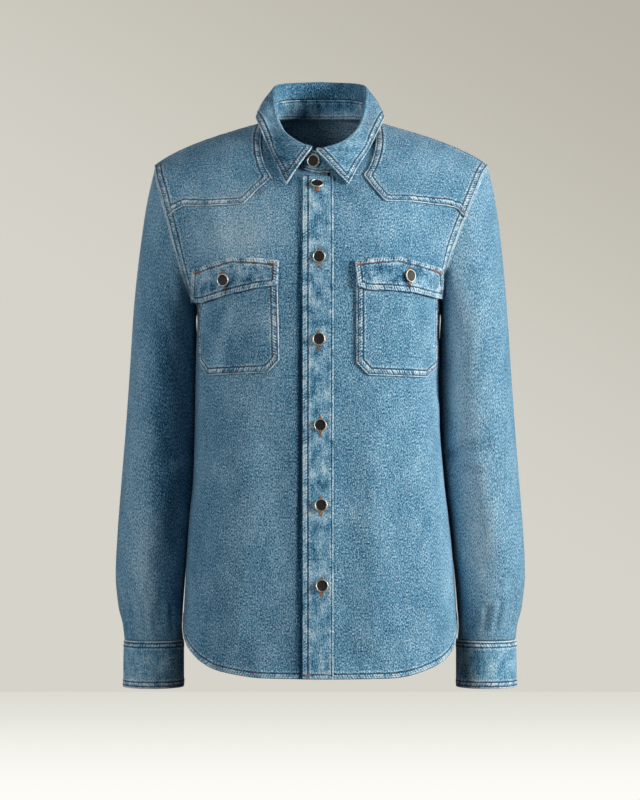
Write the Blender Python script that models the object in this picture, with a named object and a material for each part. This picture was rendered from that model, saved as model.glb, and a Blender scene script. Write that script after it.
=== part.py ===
"""A denim shirt, hollow and filled out as if worn, made from the pieces it is cut from.

The fronts face -Y, +X is the wearer's left and +Z is up. The origin is the middle of the neck at
the height of the back of the neck. Sizes are in millimetres here; the meshes are in metres.

Every cloth piece is a sheet of points, its outer face, given a wall inwards. The fronts and the
back are rows of cubic curves that run outwards from the front edge, the centre back or the
neckline to the side seam, the armhole or the shoulder. What lies on a front is made from the
front's own points, moved out.
"""

from collections import namedtuple
import math

import bpy
import numpy as np

MM = 0.001

# Cloth
CLOTH = 1.2
FLAP_CLOTH = 1.6
DOUBLE = 2.0
GAP = 0.3
SEAM_PULL = 0.2
LIFT = 0.95
POCKET_LIFT = 1.1

# An edge point whose two edge directions add up to more than this counts as on a straight edge
STRAIGHT = 1.6
# Points closer than these are one point, in a sheet and at a seam between sheets
SAME_POINT = 1e-3
SAME_SEAM = 1e-2
SHARP_ANGLE = 40.0

# Finding a place on a half: a coarse grid, then steps of at most this share and station
GRID_SHARES = 41
GRID_STATIONS = 120
GRID_TOP = -2.0
FIND_STEPS = 8
MOST_SHARE = 0.05
MOST_STATION = 10.0
# Steps for the difference quotients of a half, in share and in station
SHARE_STEP = 1e-4
STATION_STEP = 1e-2
NORMAL_SHARE = 0.01
NORMAL_STATION = 2.0

RIGHT, LEFT = -1.0, 1.0
HALF_TURN = 180.0

# Neck: a ring of this half width, with the base and the fold of the collar by angle from the front
NECK_HALF_WIDTH = 58.0
NECK_MIDDLE_Y = -5.0
NECK_HALF_DEPTH = 67.0
SHOULDER_ANGLE = 95.0
Neck = namedtuple("Neck", "angle base stand_top fold lean")
NECK = (
    Neck(0, -71, -44, -40, 1.0),
    Neck(20, -66, -39, -34, 1.0),
    Neck(45, -48, -25, -19.5, 2.0),
    Neck(60, -34, -12, -7, 3.0),
    Neck(80, -13, 7, 22, 3.0),
    Neck(95, -1, 18, 38, 3.0),
    Neck(120, 4, 25, 46, 4.0),
    Neck(150, 6.5, 29, 50, 4.0),
    Neck(180, 7, 30, 52, 4.0),
)

# Body below the arms: level rows, with the half widths, the centre front and the centre back
Level = namedtuple("Level", "height right left front back")
LEVELS = (
    Level(-690, 168, 167, -111, 104),
    Level(-600, 164, 164, -114, 104),
    Level(-535, 160.5, 160, -116, 103),
    Level(-480, 157, 154.5, -117, 100),
    Level(-430, 152, 148.5, -117, 96),
    Level(-360, 150, 143.5, -116, 92),
    Level(-294, 149, 143, -116, 95),
    Level(-228, 147, 144, -118, 103),
)
SIDE_Y = 2.0
LEVEL_IN_PULL = 0.66
LEVEL_SIDE_PULL = 0.62
UNDERARM = -228.0

# Front edges, as far past the centre as each lies under the placket
RIGHT_EDGE = -10.0
LEFT_EDGE = 12.0

# Body above the arms: each row leaves the middle (or the neckline) with one pull and reaches the
# armhole with the other, both as outward, backward and upward runs
Rise = namedtuple(
    "Rise",
    "station middle_y middle_z in_out in_y in_z right left arm_y arm_z pull_out pull_y pull_z",
)
FRONT_RISES = (
    Rise(-200, -119, -200, 94, 0, 0, 155, 144.5, -30, -210, -16, -52, 2),
    Rise(-160, -117, -160, 90, 0, 0, 167.5, 152.5, -52, -170, -42, -38, 2),
    Rise(-112, -101, -112, 80, -3, 2, 181.5, 171.5, -48, -119, -52, -22, 6),
    Rise(-71, -71, -70, 62, -8, -4, 190, 184.5, -36, -90, -58, -18, 12),
    Rise(-35, -52, -48, 48, -10, -3, 196.5, 194, -17, -68, -52, -12, 20),
    Rise(0, 1, -1, 39, 0, -13, 198, 201.5, 4, -56, -36, 0, 28.5),
)
BACK_RISES = (
    Rise(-200, 107, -200, 94, 0, 0, 155, 146, 34, -208, -14, 50, 2),
    Rise(-160, 109, -160, 90, 0, 0, 168, 157, 58, -167, -34, 34, 2),
    Rise(-112, 106, -109, 82, 0, 0, 181.5, 174, 63, -119, -46, 24, 6),
    Rise(-71, 98, -64, 76, 0, 2, 190, 187, 51, -90, -52, 20, 12),
    Rise(-38, 62, 7, 54, 10, -2, 196.5, 195, 31, -72, -50, 12, 20),
    Rise(0, 1, -1, 39, 0, -13, 198, 201.5, 4, -56, -36, 0, 28.5),
)
FRONT_CORNER = -71.0
BACK_CORNER = -38.0

# Hem, as a height by the share of the way from the centre to the side seam
Hem = namedtuple("Hem", "share front_right front_left back")
HEM = (
    Hem(0, -661, -661, -667),
    Hem(0.25, -660.5, -660.5, -667),
    Hem(0.5, -653.5, -650.5, -660),
    Hem(0.75, -633, -632, -640),
    Hem(0.9, -615, -613, -617),
    Hem(1, -600, -600, -600),
)

COLUMNS = 11
LOWER_ROWS = (0.0, 0.1, 0.22, 0.34, 0.46, 0.58, 0.7, 0.82, 0.92, 1.0)
STATIONS = (-214, -200, -180, -160, -136, -112, -91, -71, -60, -49, -38, -28, -18, -9, 0)

# Sleeve: rows down the arm with the outer and the inner point seen from the front, the depth
Arm = namedtuple(
    "Arm", "share outer outer_z inner_right inner_left inner_z middle_right middle_left half_depth"
)
ARMS = (
    Arm(0.0, 201.5, -56, 147, 144, -228, 4, 4, 62),
    Arm(0.08, 211, -98, 148.7, 145.2, -241, 12, 8, 67),
    Arm(0.17, 219, -158, 148.2, 143.8, -265, 22, 12, 69),
    Arm(0.28, 225, -225, 147.8, 143.0, -302, 29, 15, 68),
    Arm(0.40, 230, -300, 148.5, 143.2, -348, 31, 16, 65),
    Arm(0.53, 235, -372, 150.2, 145.5, -396, 31, 16, 62),
    Arm(0.66, 240.4, -440, 153.6, 150.4, -448, 29, 15, 60),
    Arm(0.78, 244.8, -500, 158.6, 157, -502, 26, 13, 57),
    Arm(0.87, 246.6, -545, 162.2, 161.8, -545, 22, 11, 54),
    Arm(0.94, 242.8, -585, 165, 165, -585, 16, 9.5, 48),
    Arm(0.98, 237, -608, 166, 166.5, -608, 11, 8.5, 41),
    Arm(1.0, 235, -623, 164.5, 165.5, -623, 8, 8, 36.5),
)
ARM_SHARES = (
    0.0, 0.04, 0.08, 0.14, 0.21, 0.28, 0.35, 0.42, 0.48, 0.525, 0.565, 0.6, 0.65, 0.7, 0.75, 0.8,
    0.845, 0.88, 0.91, 0.935, 0.955, 0.975, 1.0,
)
ARMHOLE_FADE = 0.3

# Largest folds. Each is a line, its half width and its depth, which is negative for a trough.
# On the fronts and the back a line runs between places seen from the front; on a sleeve it runs
# between shares of its length and turns in degrees.
Fold = namedtuple("Fold", "out_start height_start out_end height_end width depth")
FOLDS = {
    "front_right": (
        Fold(128, -116, 118, -170, 24, 2.4),
        Fold(101, -346, 104, -600, 34, 2.8),
        Fold(158, -128, 146, -204, 22, -2.4),
        Fold(52, -390, 48, -640, 30, -2.2),
        Fold(70, -600, 92, -650, 24, -1.8),
    ),
    "front_left": (
        Fold(138, -122, 112, -160, 30, -1.8),
        Fold(66, -330, 60, -600, 40, 2.4),
        Fold(118, -345, 134, -600, 36, 2.4),
        Fold(128, -312, 100, -372, 26, -2.0),
        Fold(38, -420, 36, -630, 28, -1.6),
    ),
    "back_right": (
        Fold(118, -215, 84, -330, 34, -3.0),
        Fold(66, -360, 74, -640, 44, -4.0),
        Fold(120, -380, 126, -600, 34, 2.4),
    ),
    "back_left": (
        Fold(122, -220, 92, -310, 32, -2.6),
        Fold(58, -330, 66, -630, 46, -4.2),
        Fold(112, -350, 122, -610, 36, 2.6),
    ),
}
ArmFold = namedtuple("ArmFold", "share_start turn_start share_end turn_end width depth")
ARM_FOLDS = {
    "sleeve_right": (
        ArmFold(0.16, 128, 0.5, 138, 26, -3.6),
        ArmFold(0.54, 150, 0.585, 92, 20, -3.4),
        ArmFold(0.62, 140, 0.84, 120, 24, -3.0),
        ArmFold(0.9, 62, 0.975, 58, 12, -2.4),
        ArmFold(0.93, 112, 0.975, 112, 9, -1.8),
        ArmFold(0.53, 225, 0.57, 262, 22, -3.2),
        ArmFold(0.9, 20, 0.97, 12, 12, -2.0),
    ),
    "sleeve_left": (
        ArmFold(0.14, 132, 0.44, 142, 26, -3.2),
        ArmFold(0.55, 142, 0.55, 88, 20, -4.0),
        ArmFold(0.61, 118, 0.84, 108, 24, -3.2),
        ArmFold(0.88, 58, 0.975, 52, 12, -3.0),
        ArmFold(0.94, 96, 0.975, 98, 9, -2.0),
        ArmFold(0.95, 116, 0.975, 116, 8, -1.6),
        ArmFold(0.54, 222, 0.58, 265, 22, -3.4),
        ArmFold(0.9, 14, 0.97, 8, 12, -2.2),
    ),
}
SIDE_FADE = 0.14
SHOULDER_FADE = 40.0
ARM_LENGTH = 570.0
ARM_RADIUS = 48.0
CUFF_FADE = 0.035

# Cuff: an open band whose end laps over its start at the back of the wrist
Cuff = namedtuple("Cuff", "height outer inner half_depth")
CUFFS = (
    Cuff(-623.5, 235, 164, 36.5),
    Cuff(-630, 236, 163.5, 37),
    Cuff(-672, 236.5, 163.5, 37),
    Cuff(-680, 236.5, 164, 36.5),
)
CUFF_MIDDLE_Y = 8.0
CUFF_START = 285.0
CUFF_LAP = 42.0
CUFF_RAMP = 30.0
CUFF_COLUMNS = 30

# Collar stand: turns run from the front over the wearer's right, round the back to the left
STAND_UNDER = 2.5
STAND_UNDER_ENDS = 24.0
STAND_UNDER_FADE = 26.0
STAND_LAP = (354.0, 360.5, 367.0, 373.0, 378.5, 382.3)
STAND_CORNER_TURN = 374.0
STAND_CORNER_DROP = 0.42
STAND_ROWS = 4
STAND_LAP_LIFT = 1.8
STAND_LAP_RUN = 4.0
LEAF_GAP = 0.9

# Collar leaf: its outer edge by the angle of the fold above it
LeafEdge = namedtuple("LeafEdge", "angle right left y z lying")
LEAF_EDGE = (
    LeafEdge(0, 40, 34, -92, -83, 1),
    LeafEdge(25, 50, 45, -80, -61, 1),
    LeafEdge(48, 60, 58, -62, -39, 1),
    LeafEdge(70, 69.5, 69, -40, -17, 0),
    LeafEdge(90, 76.5, 76.5, -14, 1, 0),
    LeafEdge(110, 77, 77, 18, 4, 0),
    LeafEdge(130, 64, 64, 50, 4, 0),
    LeafEdge(155, 36, 36, 74, 1, 0),
    LeafEdge(180, 0, 0, 81, 0, 0),
)
LEAF_TURNS = (
    10, 20, 31, 43, 55, 67, 79, 91, 103, 116, 131, 147, 163, 180,
    197, 213, 229, 244, 257, 269, 281, 293, 305, 317, 329, 341, 352, 363.5,
)
LEAF_THICK = 1.8
LEAF_BULGE = 3.0
LEAF_LIFT = 5.0
LEAF_OVER = 4.4
LEAF_CREST = 3.5
LEAF_INSIDE = 9.0
LEAF_LEAN_IN = 0.2
LEAF_FALL = (0.25, 0.5, 0.75, 1.0)

# Front yokes: the lower edge, from the neck side to the armhole, by outward place and height
Corner = namedtuple("Corner", "out height")
YOKE_RIGHT = (
    Corner(72, -89), Corner(89, -107), Corner(133, -109), Corner(160, -107), Corner(171, -112)
)
YOKE_LEFT = (
    Corner(61.5, -87), Corner(76, -104), Corner(108, -104), Corner(150, -107), Corner(162, -110)
)
YOKE_TOP_OUT = {"right": 0.055, "left": 0.035}
YOKE_ARMHOLE = 0.994
YOKE_ARMHOLE_STATION = -113.0
YOKE_TOP_STATION = -0.8
YOKE_COLUMNS = 10
YOKE_ROWS = (0.0, 0.14, 0.27, 0.4, 0.53, 0.66, 0.75, 0.83, 0.91, 1.0)

# Pockets: corners by outward place and height, from the top at the inner side round
POCKET_RIGHT = (
    Corner(49.3, -188), Corner(47, -289.5), Corner(60.3, -304),
    Corner(131.5, -307), Corner(141.5, -292), Corner(142, -202),
)
POCKET_LEFT = (
    Corner(42, -190), Corner(42, -292.5), Corner(56, -307),
    Corner(125.3, -309.5), Corner(136.8, -297.5), Corner(137, -200),
)
POCKET_ROWS = (0.0, 0.08, 0.16, 0.24, 0.36, 0.52, 0.69, 0.86, 1.0)
POCKET_CUT = 0.86
POCKET_COLUMNS = 11

# Flaps: the top and the bottom edge, from the inner side out
FLAP_TOP_RIGHT = (Corner(47, -174), Corner(74, -170.5), Corner(102, -169), Corner(150.5, -181.5))
FLAP_TOP_LEFT = (Corner(39.5, -174), Corner(65, -170.5), Corner(90, -168.5), Corner(143, -180))
FLAP_BOTTOM_RIGHT = (
    Corner(48, -202.5), Corner(74, -205.5), Corner(107, -212), Corner(136, -219),
    Corner(150.5, -217),
)
FLAP_BOTTOM_LEFT = (
    Corner(42.7, -204), Corner(57, -208), Corner(80, -208), Corner(107, -210), Corner(130, -215.5),
    Corner(142, -216),
)
FlapRow = namedtuple("FlapRow", "share lift")
FLAP_ROWS = (FlapRow(0.0, 0.9), FlapRow(0.33, 2.9), FlapRow(0.66, 3.4), FlapRow(1.0, 3.8))
FLAP_COLUMNS = 9

# Button placket, a double band over both front edges
PLACKET_ACROSS = (-20.5, -11.5, -2.5, 6.5, 15.5)
PLACKET_HEIGHTS = (
    -660.7, -615, -560, -500, -440, -380, -320, -265, -225, -200, -180, -162, -146, -130, -115,
    -101, -89, -80, -74.5,
)
PLACKET_THICK = 1.8

# Strips over the sleeve slits, behind each cuff
STRIP_TURN = 303.0
STRIP_HALF_TURN = 15.0
STRIP_TOP = 0.82
STRIP_BOTTOM = 0.997
STRIP_ROWS = 7

# Buttons: rimmed discs, by their place seen from the front
Button = namedtuple("Button", "name out height")
BUTTON_RADIUS = 7.5
BUTTON_SIDES = 14
BUTTON_PROFILE = ((0.0, 0.0), (6.4, 0.0), (7.5, 0.9), (7.3, 2.3), (6.1, 2.9), (5.5, 2.3), (0.0, 2.3))
FRONT_BUTTONS = (
    Button("button_1", -3.5, -85.5),
    Button("button_2", -0.6, -170),
    Button("button_3", -1.2, -265),
    Button("button_4", 0.6, -365),
    Button("button_5", 1.3, -458),
    Button("button_6", 2.3, -551.5),
)
FLAP_BUTTONS = (Button("button_flap_right", 110, -195), Button("button_flap_left", 101.5, -191))
FLAP_BUTTON_LIFT = 5.2
NECK_BUTTON_TURN = 367.5
NECK_BUTTON_RISE = 0.5
CUFF_BUTTON_TURN = 308.0
CUFF_BUTTON_HEIGHT = -651.0
BUTTON_GAP = 0.4

COLOURS = {
    "denim": (0.125, 0.27, 0.40),
    "denim_dark": (0.10, 0.22, 0.34),
    "denim_pale": (0.16, 0.32, 0.45),
    "button": (0.05, 0.05, 0.06),
}


def smooth(knots, values, at):
    """Reads a table between its rows with a monotone cubic, which never overshoots a row."""
    knots = np.asarray(knots, float)
    values = np.asarray(values, float).reshape(len(knots), -1)
    at = np.asarray(at, float)
    step = np.diff(knots)[:, None]
    rise = np.diff(values, axis=0) / step
    before, after = rise[:-1], rise[1:]
    wide = 2 * step[1:] + step[:-1]
    narrow = step[1:] + 2 * step[:-1]
    same = before * after > 0
    safe_before = np.where(same, before, 1.0)
    safe_after = np.where(same, after, 1.0)
    mean = (wide + narrow) / (wide / safe_before + narrow / safe_after)
    slope = np.concatenate([rise[:1], np.where(same, mean, 0.0), rise[-1:]])
    place = np.clip(np.searchsorted(knots, at, side="right") - 1, 0, len(knots) - 2)
    width = step[place]
    share = np.clip((at - knots[place])[..., None] / width, 0.0, 1.0)
    low, high = values[place], values[place + 1]
    square, cube = share**2, share**3
    read = (
        low * (2 * cube - 3 * square + 1)
        + high * (3 * square - 2 * cube)
        + width * slope[place] * (cube - 2 * square + share)
        + width * slope[place + 1] * (cube - square)
    )
    return read if read.shape[-1] > 1 else read[..., 0]


def table(rows, *columns):
    """The named columns of a table, side by side."""
    return np.array([[getattr(row, column) for column in columns] for row in rows], float)


def neck_ring(angle):
    """The base of the collar as outward, backward and upward places, by degrees from the front."""
    turn = np.radians(angle)
    height = smooth(table(NECK, "angle")[:, 0], table(NECK, "base"), np.abs(angle))
    out = NECK_HALF_WIDTH * np.sin(turn)
    back = NECK_MIDDLE_Y - NECK_HALF_DEPTH * np.cos(turn)
    return np.stack([out, back, height], axis=-1)


def unit(vectors):
    return vectors / np.linalg.norm(vectors, axis=-1, keepdims=True)


def eased(share):
    """Zero below nothing and one above the whole, with a soft start and end."""
    share = np.clip(share, 0.0, 1.0)
    return share * share * (3 - 2 * share)


def fold_lift(places, starts, ends, widths, depths):
    """How far the folds move each place out: each fades from its line to nothing at its width."""
    lift = np.zeros(places.shape[:-1])
    for start, end, width, depth in zip(starts, ends, widths, depths):
        run = end - start
        share = np.clip(((places - start) * run).sum(axis=-1) / (run**2).sum(), 0.0, 1.0)
        away = np.linalg.norm(places - start - share[..., None] * run, axis=-1) / width
        lift += depth * np.clip(1 - away**2, 0.0, 1.0) ** 2
    return lift


class Half:
    """One half of the fronts or of the back, read by a share of the row and a station."""

    def __init__(self, name, side, edge, depth, rises, corner, neck_start):
        self.folds = FOLDS[name]
        self.side = side
        self.corner = corner
        self.neck_start = neck_start
        self.faces = -1.0 if depth == "front" else 1.0
        width = "right" if side == RIGHT else "left"
        rows = []
        for level in LEVELS:
            half = getattr(level, width)
            middle = getattr(level, depth)
            pull = LEVEL_SIDE_PULL * (middle - SIDE_Y)
            rows.append(
                (edge, middle, level.height, LEVEL_IN_PULL * half, 0, 0)
                + (half, SIDE_Y, level.height, 0, pull, 0)
            )
        for rise in rises:
            rows.append(
                (edge, rise.middle_y, rise.middle_z, rise.in_out, rise.in_y, rise.in_z)
                + (getattr(rise, width), rise.arm_y, rise.arm_z)
                + (rise.pull_out, rise.pull_y, rise.pull_z)
            )
        self.stations = [level.height for level in LEVELS] + [rise.station for rise in rises]
        self.rows = np.array(rows, float)

    def base(self, share, station):
        """The plain form: a cubic curve from the inner end to the outer end of the row."""
        share, station = np.broadcast_arrays(
            np.asarray(share, float), np.asarray(station, float)
        )
        row = smooth(self.stations, self.rows, station)
        inner, inner_pull, outer, outer_pull = np.split(row, 4, axis=-1)
        along = np.clip((station - self.corner) / -self.corner, 0.0, 1.0)
        angle = self.neck_start + (SHOULDER_ANGLE - self.neck_start) * along
        inner = np.where((station >= self.corner)[..., None], neck_ring(angle), inner)
        t = share[..., None]
        point = (
            inner * (1 - t) ** 3
            + (inner + inner_pull) * 3 * t * (1 - t) ** 2
            + (outer + outer_pull) * 3 * t**2 * (1 - t)
            + outer * t**3
        )
        return point * np.array([self.side, 1.0, 1.0])

    def normal(self, share, station):
        """The outward direction, from differences along and across the rows."""
        low, high = np.clip(share - NORMAL_SHARE, 0, 1), np.clip(share + NORMAL_SHARE, 0, 1)
        along = self.base(high, station) - self.base(low, station)
        top = np.minimum(station + NORMAL_STATION, -1e-6)
        across = self.base(share, top) - self.base(share, top - 2 * NORMAL_STATION)
        return unit(np.cross(across, along)) * self.side * self.faces

    def fold(self, share, station):
        """How far the folds move a place out; nothing at the seams."""
        seen = self.base(share, station)[..., [0, 2]] * np.array([self.side, 1.0])
        lift = fold_lift(
            seen,
            table(self.folds, "out_start", "height_start"),
            table(self.folds, "out_end", "height_end"),
            table(self.folds, "width")[:, 0],
            table(self.folds, "depth")[:, 0],
        )
        return lift * eased((1 - share) / SIDE_FADE) * eased(-station / SHOULDER_FADE)

    def point(self, share, station, lift=0.0):
        lift = lift + self.fold(share, station)
        return self.base(share, station) + lift[..., None] * self.normal(share, station)

    def locate(self, x, z):
        """The share and station of the points that lie at these places seen from the front."""
        x, z = np.asarray(x, float), np.asarray(z, float)
        shares, stations = np.meshgrid(
            np.linspace(0, 1, GRID_SHARES), np.linspace(LEVELS[0].height, GRID_TOP, GRID_STATIONS)
        )
        seen = self.base(shares, stations)[..., [0, 2]].reshape(-1, 2)
        wanted = np.stack([x, z], axis=-1).reshape(-1, 2)
        away = ((seen[None] - wanted[:, None]) ** 2).sum(axis=-1)
        nearest = away.argmin(axis=1)
        share, station = shares.reshape(-1)[nearest], stations.reshape(-1)[nearest]
        for _ in range(FIND_STEPS):
            here = self.base(share, station)[:, [0, 2]]
            by_share = (self.base(share + SHARE_STEP, station)[:, [0, 2]] - here) / SHARE_STEP
            by_station = self.base(share, station + STATION_STEP)[:, [0, 2]] - here
            by_station = by_station / STATION_STEP
            miss = wanted - here
            size = by_share[:, 0] * by_station[:, 1] - by_share[:, 1] * by_station[:, 0]
            size = np.where(np.abs(size) < 1e-6, 1e-6, size)
            move_share = (miss[:, 0] * by_station[:, 1] - miss[:, 1] * by_station[:, 0]) / size
            move_station = (by_share[:, 0] * miss[:, 1] - by_share[:, 1] * miss[:, 0]) / size
            share = np.clip(share + np.clip(move_share, -MOST_SHARE, MOST_SHARE), 0, 1)
            station = station + np.clip(move_station, -MOST_STATION, MOST_STATION)
            station = np.clip(station, LEVELS[0].height, 0)
        return share.reshape(x.shape), station.reshape(x.shape)


def split_quads(points, quads):
    """Each quad as two triangles across its shorter diagonal, and none without an area."""
    a, b, c, d = (points[quads[:, k]] for k in range(4))
    short = np.linalg.norm(a - c, axis=1) <= np.linalg.norm(b - d, axis=1)
    one = np.where(short[:, None], quads[:, [0, 1, 2]], quads[:, [0, 1, 3]])
    two = np.where(short[:, None], quads[:, [0, 2, 3]], quads[:, [1, 2, 3]])
    both = np.concatenate([one, two])
    whole = (both[:, 0] != both[:, 1]) & (both[:, 1] != both[:, 2]) & (both[:, 0] != both[:, 2])
    return both[whole]


class Sheet:
    """The outer face of a cloth piece: points, triangles and the outward direction at each."""

    def __init__(self, name, points, quads, thickness, finish, inside):
        flat = np.asarray(points, float).reshape(-1, 3)
        _, first, index = np.unique(
            np.round(flat / SAME_POINT).astype(np.int64), axis=0, return_index=True, return_inverse=True
        )
        self.name = name
        self.points = flat[first]
        self.thickness = thickness
        self.finish = finish
        quads = index.reshape(-1)[quads]
        self.triangles = split_quads(self.points, quads)
        inside = np.asarray(inside, float).reshape(-1, 3)
        inside = inside[first] if len(inside) > 1 else inside
        outwards = self.points - inside
        face = self.triangles[:, 0]
        if (self.face_normals() * outwards[face]).sum() < 0:
            self.triangles = self.triangles[:, ::-1]
        self.normals = self.point_normals()

    def face_normals(self):
        a, b, c = (self.points[self.triangles[:, k]] for k in range(3))
        return np.cross(b - a, c - a)

    def point_normals(self):
        total = np.zeros_like(self.points)
        for corner in range(3):
            np.add.at(total, self.triangles[:, corner], self.face_normals())
        return unit(total)

    def boundary(self):
        """The directed edges that only one triangle has."""
        ends = np.concatenate([self.triangles[:, [0, 1]], self.triangles[:, [1, 2]],
                               self.triangles[:, [2, 0]]])
        size = len(self.points)
        there = ends[:, 0] * size + ends[:, 1]
        back = ends[:, 1] * size + ends[:, 0]
        return ends[~np.isin(there, back)]

    def pull_in(self, amount):
        """Moves the points of the edge into the sheet, square to the edge."""
        edge = self.boundary()
        middle = self.points[self.triangles].mean(axis=1)
        total = np.zeros_like(self.points)
        count = np.zeros(len(self.points))
        for corner in range(3):
            np.add.at(total, self.triangles[:, corner], middle)
            np.add.at(count, self.triangles[:, corner], 1.0)
        inwards = total / count[:, None] - self.points
        run = np.zeros_like(self.points)
        step = self.points[edge[:, 1]] - self.points[edge[:, 0]]
        np.add.at(run, edge[:, 0], unit(step))
        np.add.at(run, edge[:, 1], unit(step))
        on_edge = np.unique(edge)
        run_length = np.linalg.norm(run[on_edge], axis=1)
        straight = run_length > STRAIGHT
        along = run[on_edge] / np.maximum(run_length, 1e-9)[:, None]
        move = inwards[on_edge]
        aside = (move * along).sum(axis=1)[:, None] * along
        move = unit(move - np.where(straight[:, None], aside, 0.0))
        self.points[on_edge] += amount * move

    def build(self):
        """The closed wall: the sheet, its copy moved inwards, and the rim between them."""
        inner = self.points - self.normals * self.thickness
        count = len(self.points)
        points = np.concatenate([self.points, inner])
        edge = self.boundary()
        rim = np.stack([edge[:, 1], edge[:, 0], edge[:, 0] + count, edge[:, 1] + count], axis=1)
        faces = np.concatenate(
            [self.triangles, self.triangles[:, ::-1] + count, split_quads(points, rim)]
        )
        make_object(self.name, points, faces.tolist(), self.finish)


def marry(sheets):
    """Gives the points that sheets share at a seam one direction, so that their walls meet."""
    points = np.concatenate([sheet.points for sheet in sheets])
    normals = np.concatenate([sheet.normals for sheet in sheets])
    keys, index = np.unique(
        np.round(points / SAME_SEAM).astype(np.int64), axis=0, return_inverse=True
    )
    total = np.zeros((len(keys), 3))
    np.add.at(total, index.reshape(-1), normals)
    shared = unit(total)[index.reshape(-1)]
    start = 0
    for sheet in sheets:
        sheet.normals = shared[start:start + len(sheet.points)]
        start += len(sheet.points)


def make_material(name):
    found = bpy.data.materials.get(name)
    if found:
        return found
    material = bpy.data.materials.new(name)
    material.use_nodes = True
    shader = material.node_tree.nodes["Principled BSDF"]
    shader.inputs["Base Color"].default_value = (*COLOURS[name], 1.0)
    shader.inputs["Roughness"].default_value = 0.35 if name == "button" else 0.85
    shader.inputs["Metallic"].default_value = 0.8 if name == "button" else 0.0
    return material


def make_object(name, points, faces, finish):
    mesh = bpy.data.meshes.new(name)
    mesh.from_pydata((np.asarray(points) * MM).tolist(), [], faces)
    mesh.shade_smooth()
    mesh.set_sharp_from_angle(angle=math.radians(SHARP_ANGLE))
    mesh.materials.append(make_material(finish))
    made = bpy.data.objects.new(name, mesh)
    bpy.context.scene.collection.objects.link(made)


def grid_quads(rows, columns, closed=False, start=0):
    """The quads between the rows of a grid of points, and round it where it closes."""
    across = columns if closed else columns - 1
    row, column = np.meshgrid(np.arange(rows - 1), np.arange(across), indexing="ij")
    following = (column + 1) % columns
    quads = np.stack(
        [row * columns + column, row * columns + following,
         (row + 1) * columns + following, (row + 1) * columns + column], axis=-1
    )
    return quads.reshape(-1, 4) + start


def halves():
    right_angle = math.degrees(math.asin(-RIGHT_EDGE / NECK_HALF_WIDTH))
    left_angle = math.degrees(math.asin(LEFT_EDGE / NECK_HALF_WIDTH))
    return {
        name: Half(name, *row)
        for name, row in {
            "front_right": (RIGHT, RIGHT_EDGE, "front", FRONT_RISES, FRONT_CORNER, -right_angle),
            "front_left": (LEFT, LEFT_EDGE, "front", FRONT_RISES, FRONT_CORNER, left_angle),
            "back_right": (RIGHT, 0.0, "back", BACK_RISES, BACK_CORNER, HALF_TURN),
            "back_left": (LEFT, 0.0, "back", BACK_RISES, BACK_CORNER, HALF_TURN),
        }.items()
    }


def panel_grid(half, hem_column):
    """The points of a half, from the hem up to the shoulder seam."""
    share = np.linspace(0, 1, COLUMNS + 1)
    hem = smooth(table(HEM, "share")[:, 0], table(HEM, hem_column), share)
    climb = np.array(LOWER_ROWS)[:, None]
    lower = half.point(share[None], hem + (UNDERARM - hem) * climb)
    upper = half.point(share[None], np.array(STATIONS, float)[:, None])
    return np.concatenate([lower, upper])


def panel_sheet(name, parts):
    """One panel from its halves, which share the points of the centre line."""
    points, quads, start = [], [], 0
    for number, grid in enumerate(parts):
        rows, columns = grid.shape[:2]
        half_quads = grid_quads(rows, columns, start=start)
        quads.append(half_quads[:, ::-1] if number else half_quads)
        points.append(grid.reshape(-1, 3))
        start += rows * columns
    points = np.concatenate(points)
    inside = points * np.array([0.0, 0.0, 1.0])
    return Sheet(name, points, np.concatenate(quads), CLOTH, "denim", inside)


def armhole(front, back):
    """The ring of the armhole, from the underarm up the front and down the back."""
    up = np.array((UNDERARM,) + STATIONS, float)
    return np.concatenate([front.point(1.0, up), back.point(1.0, up[1:-1])[::-1]])


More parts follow.
